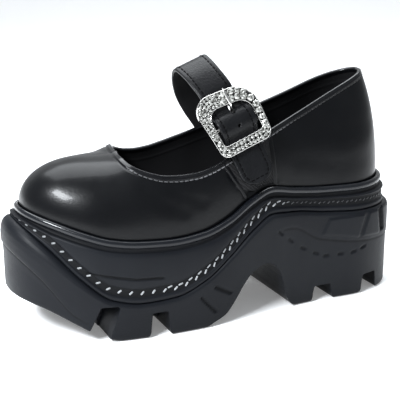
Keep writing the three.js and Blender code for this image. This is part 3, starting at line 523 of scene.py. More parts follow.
def last_surface(angle, lift):
    """Surface of the last: lift 0 is the sole's rim and lift pi / 2 the closed top line."""
    at = at_of(angle)
    x, y = last_outline(angle)
    ridge_x, ridge_y, ridge_z = ridge_point(angle)
    left = np.maximum(0, np.cos(lift))
    from_end = 1 - left ** (2 / along(LAST, "steep", at))
    from_side = 1 - left ** (2 / along(LAST, "full", at))
    x, y, z = x + (ridge_x - x) * from_end, y + (ridge_y - y) * from_side, rim_z(at)
    return np.stack([x, y, z + (ridge_z - z) * np.sin(lift)], -1)


def inset_surface(angle, lift, depth):
    """A surface some millimetres inside the last's."""
    step = 0.003
    ahead = last_surface(angle + step, lift) - last_surface(angle - step, lift)
    above, below = np.minimum(math.pi / 2, lift + step), np.maximum(0, lift - step)
    up = last_surface(angle, above) - last_surface(angle, below)
    base = (lift <= 0)[..., None]
    ahead = np.where(base, ahead * (1, 1, 0), ahead)
    up = np.where(base, np.array((0, 0, 1.0)), up)
    normal = unit(np.cross(ahead, up))
    return last_surface(angle, lift) - normal * np.asarray(depth)[..., None], normal


def topline_z(side, x, y):
    """Height of the opening's edge on the outer or inner side."""
    turned = x - OPENING_TURN * y
    return COLLAR_HEIGHT * along(TOPLINE, side, (turned - THROAT_X) / (COLLAR_BACK_X - THROAT_X))


def over_topline(point, angle):
    x, y, z = np.moveaxis(point, -1, 0)
    return z - np.where(np.sin(angle) >= 0, topline_z("outer", x, y), topline_z("inner", x, y))


def top_lift(angle):
    """Lift at which each column meets the top edge, or pi / 2 in front of the throat."""
    low = np.zeros_like(angle)
    high = np.full_like(angle, math.pi / 2)
    closed = over_topline(np.stack(ridge_point(angle), -1), angle) <= 0
    for _ in range(40):
        middle = (low + high) / 2
        above = over_topline(last_surface(angle, middle), angle) > 0
        high = np.where(above, middle, high)
        low = np.where(above, low, middle)
    return np.where(closed, math.pi / 2, high)


def throat_angle():
    low, high = 0.2, 1.6
    for _ in range(40):
        middle = np.array((low + high) / 2)
        if over_topline(np.stack(ridge_point(middle), -1), middle) > 0:
            high = float(middle)
        else:
            low = float(middle)
    return low


THROAT = throat_angle()


def side_y(x, z, side):
    """Half width of the last's side at a place: side is -1 on the outer side and 1 on the inner."""
    low = np.full_like(x, 0.02)
    high = np.full_like(x, math.pi - 0.02)
    for _ in range(30):
        middle = (low + high) / 2
        angle = np.where(side < 0, middle, 2 * math.pi - middle)
        base = rim_z(at_of(angle))
        rise = np.clip((z - base) / (ridge_point(angle)[2] - base), 0, 1)
        point = last_surface(angle, np.arcsin(rise))
        short = point[..., 0] < x
        low = np.where(short, middle, low)
        high = np.where(short, high, middle)
    return point[..., 1]


def run_along(points):
    """Length of a line from its first point to each of its points."""
    steps = np.linalg.norm(np.diff(points, axis=0), axis=-1)
    return np.concatenate([np.zeros((1, *steps.shape[1:])), np.cumsum(steps, 0)])


def unit(vectors):
    return vectors / np.linalg.norm(vectors, axis=-1, keepdims=True)


def new_object(name, points, faces):
    """A mesh object in the scene from millimetres on the last."""
    mesh = bpy.data.meshes.new(name)
    place = (np.asarray(points, float).reshape(-1, 3) + LAST_TO_FRAME) / 1000
    mesh.from_pydata(place.tolist(), [], faces)
    made = bpy.data.objects.new(name, mesh)
    bpy.context.scene.collection.objects.link(made)
    return made


def make_piece(name, points, faces, material, stored=None):
    """A piece riding on the shoe's one body, with the numbers that its material reads for each point."""
    piece = new_object(name, points, faces)
    mesh = piece.data
    for key, values in (stored or {}).items():
        attribute = mesh.attributes.new(key, "FLOAT", "POINT")
        attribute.data.foreach_set("value", np.asarray(values, np.float32).ravel())
    mesh.polygons.foreach_set("use_smooth", [True] * len(mesh.polygons))
    mesh.materials.append(material)
    mesh.validate()
    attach(piece, "root")
    return piece


def gathered(shapes):
    """Points and faces of many small shapes together."""
    points, faces = [], []
    for more, sides in shapes:
        faces += [[corner + len(points) for corner in side] for side in sides]
        points += list(more)
    return points, faces


def cut_with(piece, points, faces, joined=False):
    """Takes closed solids out of a closed piece."""
    cutter = new_object("cutter", points, faces)
    made = bmesh.new()
    made.from_mesh(cutter.data)
    bmesh.ops.recalc_face_normals(made, faces=made.faces)
    made.to_mesh(cutter.data)
    made.free()
    cut = piece.modifiers.new("cut", "BOOLEAN")
    cut.object = cutter
    cut.solver = "EXACT"
    cut.use_self = joined
    with bpy.context.temp_override(object=piece, active_object=piece, selected_objects=[piece]):
        bpy.ops.object.modifier_apply(modifier="cut")
    bpy.data.meshes.remove(cutter.data)


def grid_faces(rows, columns, closed=True, first=0):
    """Four-sided faces of a grid of points, row by row."""
    gaps = columns if closed else columns - 1
    row, column = np.meshgrid(np.arange(rows - 1), np.arange(gaps), indexing="ij")
    a = row * columns + column
    b = row * columns + (column + 1) % columns
    return (np.stack([a, b, b + columns, a + columns], -1).reshape(-1, 4) + first).tolist()


def loop_faces(rows, columns, first=0):
    """Faces of a closed ring whose last row of points joins its first."""
    last = first + (rows - 1) * columns
    after = [*range(1, columns), 0]
    closing = [[first + after[i], first + i, last + i, last + after[i]] for i in range(columns)]
    return grid_faces(rows, columns, first=first) + closing


def tube_faces(rows, sides):
    """Faces of a tube's rings with both ends closed."""
    ends = [list(range(sides))[::-1], [(rows - 1) * sides + i for i in range(sides)]]
    return grid_faces(rows, sides) + ends


def ladder_faces(count, first, up):
    """Closes a ring of the sole from side to side."""
    faces = []
    for i in range(count // 2):
        back = (count - i) % count
        corners = [i, i + 1, count - i - 1, back]
        corners = [first + corner for corner in dict.fromkeys(corners)]
        if len(corners) > 2:
            faces.append(corners if up else corners[::-1])
    return faces


def ring_piece_faces(rows):
    """Faces of a closed piece made of rings of the sole, from its bottom to its top."""
    count = rows.shape[1]
    faces = grid_faces(len(rows), count) + ladder_faces(count, 0, False)
    return faces + ladder_faces(count, (len(rows) - 1) * count, True)


def softened(rows, times=2):
    """Rows of a profile with their corners cut, so that its edges are rounded."""
    for _ in range(times):
        cut = [rows[0]]
        for low, high in zip(rows[:-1], rows[1:]):
            cut += [0.75 * low + 0.25 * high, 0.25 * low + 0.75 * high]
        rows = np.array([*cut, rows[-1]])
    return rows


def even_rows(rows, count):
    """The same profile in each column with its rows evenly spaced along it."""
    run = run_along(rows)
    spaced = np.empty((count, *rows.shape[1:]))
    for column in range(rows.shape[1]):
        at = np.linspace(0, run[-1, column], count)
        for axis in range(rows.shape[2]):
            spaced[:, column, axis] = np.interp(at, run[:, column], rows[:, column, axis])
    return spaced


def bumper(at):
    return TOE_BUMPER * (1 - np.minimum(1, at / BUMPER_END)) ** 1.6


def line_distance(x, z, line):
    """Distance in the side view to a line through some points."""
    nearest = np.full(x.shape, 1e9)
    for (x0, z0), (x1, z1) in zip(line[:-1], line[1:]):
        run = (x1 - x0) ** 2 + (z1 - z0) ** 2
        t = np.clip(((x - x0) * (x1 - x0) + (z - z0) * (z1 - z0)) / run, 0, 1)
        nearest = np.minimum(nearest, np.hypot(x - x0 - t * (x1 - x0), z - z0 - t * (z1 - z0)))
    return nearest


def inside_shape(x, z, corners):
    """Which places of the side view lie inside a shape."""
    inside = np.zeros(x.shape, bool)
    for (x0, z0), (x1, z1) in zip(corners, corners[1:] + corners[:1]):
        crosses = (z0 > z) != (z1 > z)
        at = x0 + (z - z0) * (x1 - x0) / (z1 - z0 if z1 != z0 else 1e-9)
        inside ^= crosses & (x < at)
    return inside


def pressed(x, z, corners, ease):
    """1 inside a shape of the side view and 0 outside it, with an eased edge."""
    away = line_distance(x, z, corners + corners[:1])
    signed = np.where(inside_shape(x, z, corners), away, -away)
    return smooth(-ease / 2, ease / 2, signed)


# Lines and shapes in the sole's side, X and Z, and how far each stands out or is sunk
WAIST_GROOVE = [(-97, 43), (-85, 41), (-70, 38), (-53, 37)]
SHANK_SLITS = [[(-29, 21), (-19, 10)], [(-19, 26), (-8, 20)]]
ARC_NOTCHES = [(30, 52), (38, 46), (48, 39), (58, 34), (66, 31), (77, 31), (87, 31), (95, 33)]
HEEL_PANELS = [[(62, 46), (67.5, 56), (95, 56), (90, 41)], [(93, 41), (99, 56.5), (107, 57), (109.5, 40)]]
HEEL_SLOT = [(108.5, 56), (113, 57.5), (116, 41), (111.5, 41)]
ARC_END = (103, 36)
PANEL_PROUD = 0.8
SLIT_DEEP = 1.1
SLOT_DEEP = 1.6
NOTCH_DEEP = 0.8
NOTCH_HALF = 1.6
WAIST_GROOVE_DEEP = 0.7
PANEL_EASE = 0.9


def sole_relief(x, z):
    """How far the outsole's side stands out from its plain wall, and how sunk it is from 0 to 1, which the
    rubber paints as shade.
    """
    proud = np.zeros(x.shape)
    for shape in HEEL_PANELS:
        proud += PANEL_PROUD * pressed(x, z, shape, PANEL_EASE)
    for slit in SHANK_SLITS:
        proud -= SLIT_DEEP * (1 - smooth(0.35, 1.0, line_distance(x, z, slit)))
    proud -= SLOT_DEEP * pressed(x, z, HEEL_SLOT, PANEL_EASE)
    for start, end in zip(ARC_NOTCHES, [*ARC_NOTCHES[1:], ARC_END]):
        start = np.array(start)
        reach = NOTCH_HALF * unit(end - start)
        notch = [start - reach, start + reach]
        proud -= NOTCH_DEEP * (1 - smooth(0.4, 1.2, line_distance(x, z, notch)))
    return proud, np.clip(-0.8 * proud, 0, 1)


def sole_angles():
    return np.arange(SOLE_COLUMNS) * 2 * math.pi / SOLE_COLUMNS


def ring_rows(levels):
    """Rows of the sole, each from how far out it is and how high."""
    angle = sole_angles()
    return np.array([np.stack([*outline(angle, out), height], -1) for out, height in levels])


def pushed_out(rows, amount):
    """Rows of the sole's side moved out square to the outline."""
    angle = sole_angles()
    x0, y0 = outline(angle, 0)
    x1, y1 = outline(angle, 1)
    moved = rows.copy()
    moved[..., 0] += (x1 - x0) * amount
    moved[..., 1] += (y1 - y0) * amount
    return moved


def belly_out(at):
    return BELLY_PROUD * along(SOLE, "swell", at)


def rim_out(at):
    return RIM_PROUD * along(SOLE, "proud", at)


def midsole_sizes(at):
    """The midsole's bottom, how much of its relief has room there, and how far out its wall is."""
    bottom = wave_z(at) + CLEAR / 2
    full = BAND_TALL + CHANNEL_RISE + LEAST_BELLY
    fit = np.minimum(1, (rim_z(at) - RIM_TALL - bottom) / full)
    return bottom, fit, rim_out(at) + belly_out(at) + bumper(at) * BUMPER_ABOVE


def make_midsole(material):
    at = at_of(sole_angles())
    bottom, fit, wall = midsole_sizes(at)
    rim, belly, top, bed = rim_out(at), belly_out(at), rim_z(at), bed_z(at)
    under = top - RIM_TALL
    band_end = under - BAND_TALL * fit
    channel_top = bottom + CHANNEL_RISE * fit
    channel_low = channel_top - CHANNEL_TALL * fit
    room = band_end - channel_top
    slope = EDGE_SLOPE * fit
    levels = [
        (wall - 4, bottom),
        (wall - 0.8, bottom),
        (wall, bottom + 0.6 * fit),
        (wall, channel_low - slope),
        (wall - CHANNEL_DEEP, channel_low + slope),
        (wall - CHANNEL_DEEP, channel_top - slope),
        (wall - CHANNEL_DEEP / 4, channel_top + slope / 2),
        (wall, channel_top + 0.3 * room),
        (wall - 0.2 * belly, channel_top + 0.7 * room),
        (wall - 0.6 * belly, band_end - slope / 4),
        (rim - BEAD_STEP, band_end + slope),
        (rim - BEAD_STEP, under),
        (rim, under + 2 * EDGE_SLOPE),
        (rim, top - 3 * EDGE_SLOPE),
        (rim - BEAD_STEP, top),
        (CLEAR + 0.9, top),
        (CLEAR, top - 0.8),
        (CLEAR, bed),
        (-1.0, bed),
    ]
    rows = even_rows(softened(ring_rows(levels)), MIDSOLE_ROWS)
    x, z = rows[..., 0], rows[..., 2]
    groove = 1 - smooth(0.3, 0.9, line_distance(x, z, WAIST_GROOVE))
    channel = smooth(channel_low - 0.5, channel_low + 1.0, z)
    channel = channel * (1 - smooth(channel_top - 1.0, channel_top + 0.5, z))
    outside = smooth(-0.4, 0.3, 0.75 - np.linspace(0, 1, len(rows))[:, None])
    rows = pushed_out(rows, -WAIST_GROOVE_DEEP * groove * outside)
    band = smooth(band_end - 0.2, band_end + 0.4, z) * (1 - smooth(under - 0.2, under + 0.6, z))
    # Painted shade: the channel, the band under the rim and the waist groove are marked to be painted darker.
    sunk = np.clip(0.85 * channel + 0.8 * band + groove, 0, 1) * outside
    bead = smooth(under + 0.2, under + 1.0, z) * outside
    midsole = make_piece("midsole_cup", rows, ring_piece_faces(rows), material, {"sunk": sunk, "bead": bead})
    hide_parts("midsole")


def prism(shape, from_y, to_y):
    """Points and faces of a solid that fills a side view shape from one Y to another."""
    count = len(shape)
    points = [(x, from_y, z) for x, z in shape] + [(x, to_y, z) for x, z in shape]
    faces = [list(range(count)), list(range(2 * count - 1, count - 1, -1))]
    faces += [[(i + 1) % count, i, i + count, (i + 1) % count + count] for i in range(count)]
    return points, faces


def curve(start, pull, end, count=8):
    """Points of a quadratic curve without its end."""
    start, pull, end = (np.array(point, float) for point in (start, pull, end))
    at = np.linspace(0, 1, count, endpoint=False)[:, None]
    return (start * (1 - at) ** 2 + 2 * pull * at * (1 - at) + end * at**2).tolist()


def rounded_gap(front_at, back_at, roof, slant):
    """Side view of the gap between two lugs, whose foot and roof are rounded."""
    front, back = to_x(front_at), to_x(back_at)
    foot = slant * LUG_ROUND_TALL / roof
    front_top, back_top = front + slant + GAP_LEAN, back + slant - GAP_LEAN
    front_turn, back_turn = front + slant + GAP_ROUND, back + slant - GAP_ROUND
    turn = roof - GAP_ROUND / 2
    shape = [(front - LUG_ROUND, -BEYOND), (back + LUG_ROUND, -BEYOND)]
    shape += curve((back + LUG_ROUND, 0), (back, 0), (back + foot, LUG_ROUND_TALL))
    shape += [(back + foot, LUG_ROUND_TALL)]
    shape += curve((back_top, turn), (back_top, roof), (back_turn, roof))
    shape += [(back_turn, roof)]
    shape += curve((front_turn, roof), (front_top, roof), (front_top, turn))
    shape += [(front_top, turn)]
    shape += curve((front + foot, LUG_ROUND_TALL), (front, 0), (front - LUG_ROUND, 0))
    return shape


def arch_shape():
    at = np.linspace(ARCH["at"][0], ARCH["at"][-1], 70)
    shape = [(to_x(a), HEEL_SEAT * r) for a, r in zip(at, along(ARCH, "rise", at))]
    return [(shape[0][0], -BEYOND)] + shape + [(shape[-1][0], -BEYOND)]


def under_z(at):
    return HEEL_SEAT * along(TREAD, "under", at)


def make_outsole(material):
    at = at_of(sole_angles())
    under, ledge = under_z(at), HEEL_SEAT * along(TREAD, "ledge", at)
    top = wave_z(at) - CLEAR / 2
    wall = OUTSOLE_PROUD * along(TREAD, "out", at) + bumper(at)
    step = along(TREAD, "step", at)
    low = wall - step
    lip = OUTSOLE_LIP + bumper(at)
    levels = [
        (low - 5, under),
        (low - EDGE_ROUND, under),
        (low - EDGE_ROUND * 0.3, under + EDGE_ROUND * 0.3),
        (low, under + EDGE_ROUND),
        (low, ledge - EDGE_SLOPE),
        (wall, ledge + EDGE_SLOPE),
        (wall, top - lip),
        (wall - lip * 0.2, top - lip * 0.35),
        (wall - lip * 0.6, top),
        (wall - lip * 0.6 - 2, top),
    ]
    rows = even_rows(softened(ring_rows(levels), 1), OUTSOLE_ROWS)
    proud, sunk = sole_relief(rows[..., 0], rows[..., 2])
    # Painted shade: slits, the slot, notches and the fold under the ledge are marked to be painted darker.
    fold = 1 - smooth(0.3, 1.4, np.abs(rows[..., 2] - ledge + 1.0))
    sunk = np.clip(sunk + 0.7 * fold * smooth(0.1, 0.8, step), 0, 1)
    rows = pushed_out(rows, proud)
    outsole = make_piece("outsole_tread", rows, ring_piece_faces(rows), material, {"sunk": sunk})
    far = 2 * BALL_HALF
    shapes = [prism(arch_shape(), -far, far)]
    for front, back, depth, slant in LUG_GAPS:
        middle = (front + back) / 2
        angle = math.acos(1 - 2 * middle)
        outer_y = float(outline(np.array(angle), 0)[1]) + LUG_REACH - OUTSOLE_PROUD
        inner_y = float(outline(np.array(-angle), 0)[1]) - LUG_REACH + OUTSOLE_PROUD
        deep = rounded_gap(front, back, TREAD_DEEP * depth, slant)
        shallow = rounded_gap(front, back, CENTRE_TREAD + float(under_z(middle)) + 2, 0)
        shapes += [prism(deep, -far, outer_y), prism(deep, inner_y, far)]
        shapes += [prism(shallow, outer_y - 1, inner_y + 1)]
    cut_with(outsole, *gathered(shapes), joined=True)
    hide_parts("outsole")


# Places along a stitch, in radii before its start and after its end, and shares of its radius there
CAPSULE_RINGS = ((-1.0, 0.35), (-0.7, 0.8), (0.0, 1.0), (1.0, 1.0), (1.7, 0.8), (2.0, 0.35))


def capsule(start, end, radius, sides, facing, flatness):
    """A short round-ended bar, flattened along the direction that it faces."""
    start, end = np.array(start, float), np.array(end, float)
    length = np.linalg.norm(end - start)
    axis = unit(end - start)
    across = unit(np.cross(axis, facing))
    up = np.cross(across, axis)
    rings = []
    for place, share in CAPSULE_RINGS:
        along_axis = place * radius if place <= 0 else length + (place - 1) * radius
        centre = start + axis * along_axis
        for i in range(sides):
            turn = 2 * math.pi * i / sides
            offset = across * math.cos(turn) + up * math.sin(turn) * flatness
            rings.append(centre + offset * radius * share)
    return rings, tube_faces(len(CAPSULE_RINGS), sides)


def join_shapes(name, shapes, material):
    """Many small shapes as one piece."""
    return make_piece(name, *gathered(shapes), material)


def spaced_along(points, spacing):
    """Places at an even spacing on a line of points, with the line's direction there."""
    run = run_along(points)
    marks = np.arange(spacing / 2, run[-1], spacing)
    place = np.stack([np.interp(marks, run, points[:, axis]) for axis in range(3)], -1)
    ahead = np.stack([np.interp(marks + 0.3, run, points[:, axis]) for axis in range(3)], -1) - place
    ahead /= np.maximum(np.linalg.norm(ahead, axis=1, keepdims=True), 1e-9)
    return place, ahead


SOLE_STITCH = 7.0
SOLE_THREAD = 0.62
SOLE_DASH_THREAD = 0.55
SOLE_THREAD_FLAT = 0.6
SOLE_THREAD_OUT = 0.15
# X between which the stitches change to those of the waist and of the heel
WAIST_FROM = (-62, -45)
HEEL_FROM = (25, 38)


def make_sole_stitches(material):
    angle = np.linspace(0, 2 * math.pi, 2400)
    bottom, fit, wall = midsole_sizes(at_of(angle))
    height = bottom + (CHANNEL_RISE - CHANNEL_TALL / 2) * fit
    line = np.stack([*outline(angle, wall - CHANNEL_DEEP + SOLE_THREAD_OUT), height], -1)
    place, ahead = spaced_along(line, SOLE_STITCH)
    _, sizes, _ = midsole_sizes(to_at(place[:, 0]))
    shapes = []
    for point, direction, size in zip(place, ahead, sizes):
        spot = point[0]
        outward = unit(np.cross(direction, (0, 0, 1.0)))
        up = np.cross(outward, direction)
        heel = float(smooth(*HEEL_FROM, spot))
        waist = float(smooth(*WAIST_FROM, spot)) * (1 - heel)
        tall = size * (0.62 - 0.05 * waist - 0.15 * heel)
        slant = direction * (0.5 + 0.2 * waist) * (1 if point[1] < 0 else -1)
        low = point - up * size * 0.9 * waist
        reach = up * tall + slant
        radius = SOLE_THREAD - 0.2 * heel
        shapes.append(capsule(low - reach, low + reach, radius, 6, outward, SOLE_THREAD_FLAT))
        if waist > 0.3 or heel > 0.5:
            dash = point + direction * SOLE_STITCH * 0.48 + up * (1.0 - 0.6 * heel)
            reach = direction * (0.95 - 0.5 * heel) + up * 0.25
            radius = SOLE_DASH_THREAD - 0.15 * heel
            shapes.append(capsule(dash - reach, dash + reach, radius, 6, outward, SOLE_THREAD_FLAT))
    stitches = join_shapes("sole_stitches", shapes, material)


# Soft creases of the leather, drawn on a side in X and Z: side, depth, half width, points
CREASES = [
    (-1, 0.5, 5.0, [(-58, 88), (-48, 80), (-36, 75)]),
    (-1, 0.35, 4.0, [(-46, 92), (-38, 84), (-24, 79)]),
    (-1, 0.3, 6.0, [(52, 118), (75, 112), (104, 114)]),
    (-1, 0.3, 7.0, [(48, 96), (78, 90), (108, 92)]),
    (1, 0.45, 5.0, [(-58, 90), (-46, 82), (-34, 78)]),
    (1, 0.35, 5.0, [(-30, 96), (-12, 92), (10, 96)]),
    (1, 0.3, 7.0, [(50, 108), (78, 102), (106, 104)]),
]


def crease_depth(points):
    depth = np.zeros(points.shape[:-1])
    for side, deep, half, line in CREASES:
        near = line_distance(points[..., 0], points[..., 2], line)
        depth += deep * np.exp(-((near / half) ** 2)) * (points[..., 1] * side > 0)
    return depth


def upper_angles():
    """Columns of the upper, closer together behind the throat."""
    front = np.linspace(0, THROAT, UPPER_FRONT_COLUMNS)
    behind = np.linspace(0, 1, UPPER_COLUMNS - UPPER_FRONT_COLUMNS + 2)[1:] ** 1.35
    behind = THROAT + (math.pi - THROAT) * behind
    side = np.concatenate([front, behind])
    return np.concatenate([side, 2 * math.pi - side[-2:0:-1]])


def nearest_index(places, line):
    """For each place, which point of a line is nearest."""
    return np.linalg.norm(places[:, None] - line[None], axis=-1).argmin(1)


def edge_distance(points, edge):
    """Distance of each point to the nearest point of the top edge."""
    flat = points.reshape(-1, 3)
    nearest = np.empty(len(flat))
    for start in range(0, len(flat), 4000):
        part = flat[start:start + 4000]
        nearest[start:start + 4000] = np.linalg.norm(part[:, None] - edge[None], axis=-1).min(1)
    return nearest.reshape(points.shape[:-1])


FOLD_WIDE = 2.6
FOLD_PROUD = 0.35
EDGE_STITCH_IN = 3.4
EDGE_STITCH = 3.2
EDGE_STITCH_HALF = 0.85
EDGE_THREAD = 0.42
EDGE_GROOVE_DEEP = 0.3
EDGE_GROOVE_HALF = 0.7
THREAD_FLAT = 0.8


def upper_lifts(angle, rows):
    """Lifts of each column from the sole's rim up to the top edge, closer together near the top."""
    top = top_lift(angle)
    share = 1 - (1 - np.linspace(0, 1, rows)) ** 1.7
    return share[:, None] * top


def top_edge():
    """The opening's top edge as a line round the shoe, with directions out of and up along the leather."""
    outer = np.linspace(THROAT, math.pi, 500)
    angle = np.concatenate([outer, 2 * math.pi - outer[-2::-1]])
    lift = top_lift(angle + 1e-6)
    points, normal = inset_surface(angle, lift, np.zeros_like(angle))
    return points, normal, unit(points - last_surface(angle, lift - 0.01))


GORE_EASE = 7.0
GORE_SUNK = 1.5
GORE_Y = -33.0
GORE_RIB = 1.7
GORE_EDGE_WIDE = 2.8
GORE_EDGE_THICK = 0.35


def gore_corners():
    return [(to_x(at), COLLAR_HEIGHT * up) for at, up in GORE]


def make_upper(leather, lining):
    angle = upper_angles()
    lift = upper_lifts(angle, UPPER_ROWS)
    turn = np.broadcast_to(angle, lift.shape)
    plain, _ = inset_surface(turn, lift, np.zeros(lift.shape))
    away = edge_distance(plain, top_edge()[0])
    fold = FOLD_PROUD * (1 - smooth(FOLD_WIDE - 0.4, FOLD_WIDE + 0.6, away))
    groove = EDGE_GROOVE_DEEP * np.exp(-(((away - EDGE_STITCH_IN) / EDGE_GROOVE_HALF) ** 2))
    window = pressed(plain[..., 0], plain[..., 2], gore_corners(), GORE_EASE) * (plain[..., 1] < 0)
    depth = groove + crease_depth(plain) + GORE_SUNK * window - fold
    depth *= smooth(0, 0.08, lift)
    rows, _ = inset_surface(turn, lift, depth)
    down = np.stack([0 * angle, 0 * angle, rim_z(at_of(angle)) - bed_z(at_of(angle)) - CLEAR], -1)
    rows = np.concatenate([rows[:1] - down, rows])
    # The band along the top edge gets more gloss and a painted highlight in the leather's material.
    shine = 1 - smooth(0.8, FOLD_WIDE, away)
    shine = np.concatenate([shine[:1] * 0, shine])
    faces = grid_faces(len(rows), len(angle))
    upper = make_piece("upper_leather", rows, faces, leather, {"edge": shine})
    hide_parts("upper")

    inner, _ = inset_surface(turn, lift, np.full(lift.shape, WALL) + 0.2 * np.exp(-((away - 9) ** 2)))
    inner = np.concatenate([inner[:1] - down, inner])
    faces = [face[::-1] for face in grid_faces(len(inner), len(angle))]
    piece = make_piece("upper_lining", inner, faces, lining)


def make_top_roll(leather):
    """The folded top edge, rounded over from the leather to the lining."""
    points, normal, up = top_edge()
    rows = [points + normal * FOLD_PROUD * 0.9 - up * 1.2]
    for turn in np.linspace(0, math.pi, 9):
        out = -WALL / 2 + (WALL / 2 + FOLD_PROUD) * math.cos(turn)
        rows.append(points + normal * out + up * (math.sin(turn) - 0.25))
    rows.append(points - normal * (WALL + 0.15) - up * 2.5)
    # The rounded rows of the fold get more gloss and a painted highlight.
    shine = np.zeros((len(rows), len(points)))
    shine[2:8] = 1
    faces = grid_faces(*shine.shape, closed=False)
    roll = make_piece("topline_fold", rows, faces, leather, {"edge": shine})


def stitch_row(places, reaches, facings, radius, sides):
    """Stitches of one thread, each reaching as far before its place as behind it."""
    return [
        capsule(place - reach, place + reach, radius, sides, facing, THREAD_FLAT)
        for place, reach, facing in zip(places, reaches, facings)
    ]


def make_edge_stitches(material):
    """Thread below the folded edge, on the leather."""
    points, normal, up = top_edge()
    line = points - up * EDGE_STITCH_IN - normal * 0.12
    place, ahead = spaced_along(line, EDGE_STITCH)
    facing = normal[nearest_index(place, line)]
    shapes = stitch_row(place, ahead * EDGE_STITCH_HALF, facing, EDGE_THREAD, 5)
    stitches = join_shapes("topline_stitches", shapes, material)


def make_gore(material):
    """The elastic panel, a curved sheet behind the window of the outer wall."""
    (front_x, high), (back_x, _), (back_low_x, low), (front_low_x, _) = gore_corners()
    across = np.linspace(0, 1, 60)
    share = np.linspace(0, 1, 70)[:, None]
    left = front_low_x + (front_x - front_low_x) * share
    right = back_low_x + (back_x - back_low_x) * share
    x = left + (right - left) * across
    ribs = 0.5 + 0.5 * np.cos((x + 0.35 * (low + (high - low) * share)) * 2 * math.pi / GORE_RIB)
    top = topline_z("outer", x, GORE_Y) - 1.0
    base = rim_z(to_at(x)) - 6
    z = base + (top - base) * share
    y = side_y(x, np.maximum(z, rim_z(to_at(x))), np.full(x.shape, -1.0)) + 0.3
    faces = grid_faces(*x.shape, closed=False)
    gore = make_piece("gore_elastic", np.stack([x, y, z], -1), faces, material, {"rib": ribs})
    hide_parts("gore")


def make_gore_edges(leather):
    """Folded leather edges over both seams of the elastic panel."""
    front_top, back_top, back_low, front_low = gore_corners()
    share = np.linspace(0, 1, 90)
    across = np.linspace(-1, 1, 9)
    strips = []
    for (x0, z0), (x1, z1) in ((front_low, front_top), (back_low, back_top)):
        x, z = x0 + (x1 - x0) * share, z0 + (z1 - z0) * share
        keep = (z < topline_z("outer", x, GORE_Y) - 1.5) & (z > rim_z(to_at(x)) - 1)
        column = x[keep][:, None] + across * GORE_EDGE_WIDE / 2
        height = np.broadcast_to(z[keep][:, None], column.shape)
        y = side_y(column, np.maximum(height, rim_z(to_at(column))), np.full(column.shape, -1.0))
        rise = GORE_EDGE_THICK * np.sqrt(np.maximum(0, 1 - across**2)) - 0.15
        strip = np.stack([column, y - rise, height], -1).reshape(-1, 3)
        strips.append((strip, grid_faces(*column.shape, closed=False)))
    edges = join_shapes("gore_edges", strips, leather)


STRAP_ACROSS = np.array((math.cos(STRAP_LEAN), 0, math.sin(STRAP_LEAN)))
STRAP_UP = np.array((-math.sin(STRAP_LEAN), 0, math.cos(STRAP_LEAN)))


def strap_point(back, y, up):
    """Places from their set back along the strap's width, their Y and their height square to its width."""
    back, y, up = np.broadcast_arrays(back, y, up)
    point = (STRAP_AT + back)[..., None] * STRAP_ACROSS + up[..., None] * STRAP_UP
    point[..., 1] = y
    return point


def buckle_side(down, out):
    sine, cosine = math.sin(BUCKLE_LEAN), math.cos(BUCKLE_LEAN)
    return -BUCKLE_OUT - down * sine - out * cosine, BUCKLE_UP - down * cosine + out * sine


def buckle_place(across, up, out):
    """Places from the buckle's own directions: back, up and out of its plane."""
    y, height = buckle_side(-np.asarray(up, float), np.asarray(out, float))
    return strap_point(BUCKLE_BACK + np.asarray(across, float), y, height)


def catmull(points, t):
    """Places and directions on a smooth curve through points, spaced by the roots of their distances."""
    points = np.asarray(points, float)
    ends = np.concatenate([[2 * points[0] - points[1]], points, [2 * points[-1] - points[-2]]])
    scaled = np.clip(t, 0, 1) * (len(points) - 1)
    i = np.minimum(scaled.astype(int), len(points) - 2)
    weight = (scaled - i)[:, None]
    p0, p1, p2, p3 = ends[i], ends[i + 1], ends[i + 2], ends[i + 3]
    d0 = np.sqrt(np.linalg.norm(p1 - p0, axis=1))[:, None]
    d1 = np.sqrt(np.linalg.norm(p2 - p1, axis=1))[:, None]
    d2 = np.sqrt(np.linalg.norm(p3 - p2, axis=1))[:, None]
    m1 = ((p1 - p0) / d0 - (p2 - p0) / (d0 + d1) + (p2 - p1) / d1) * d1
    m2 = ((p2 - p1) / d1 - (p3 - p1) / (d1 + d2) + (p3 - p2) / d2) * d1
    a = 2 * p1 - 2 * p2 + m1 + m2
    b = -3 * p1 + 3 * p2 - 2 * m1 - m2
    place = a * weight**3 + b * weight**2 + m1 * weight + p1
    slope = 3 * a * weight**2 + 2 * b * weight + m1
    return place, slope


def strap_line():
    free = (STRAP["back"] * STRAP_WIDE, STRAP["inward"] * STRAP_HALF_SPAN, STRAP["up"] * STRAP_TOP)
    held = buckle_side(THREADING["down"] * BUCKLE_LONG, THREADING["out"] * BUCKLE_THICK)
    return np.concatenate([np.stack(free, -1), np.stack([THREADING["back"] * STRAP_WIDE, *held], -1)])


def strap_frame(count):
    """Stations of the strap: middle, normal in the strap's plane, half width and run from the inner end."""
    place, slope = catmull(strap_line(), np.linspace(0, 1, count))
    run = run_along(place)
    flat = np.hypot(slope[:, 1], slope[:, 2])
    normal = np.stack([slope[:, 2] / flat, -slope[:, 1] / flat], -1)
    left = np.clip((run[-1] - run) / TAIL_ROUND, 0.0005, 1)
    taper = 1 - STRAP_TAPER * np.clip((run / run[-1] - 0.35) / 0.2, 0, 1)
    half = STRAP_WIDE / 2 * taper * np.sqrt(1 - (1 - left) ** 2)
    return place, normal, half, run


# Where the strap is pressed wider in the buckle's window: before its end, half length and amount
STRAP_FULL_AT = 42.0
STRAP_FULL_HALF = 13.0
STRAP_FULLER = 3.1


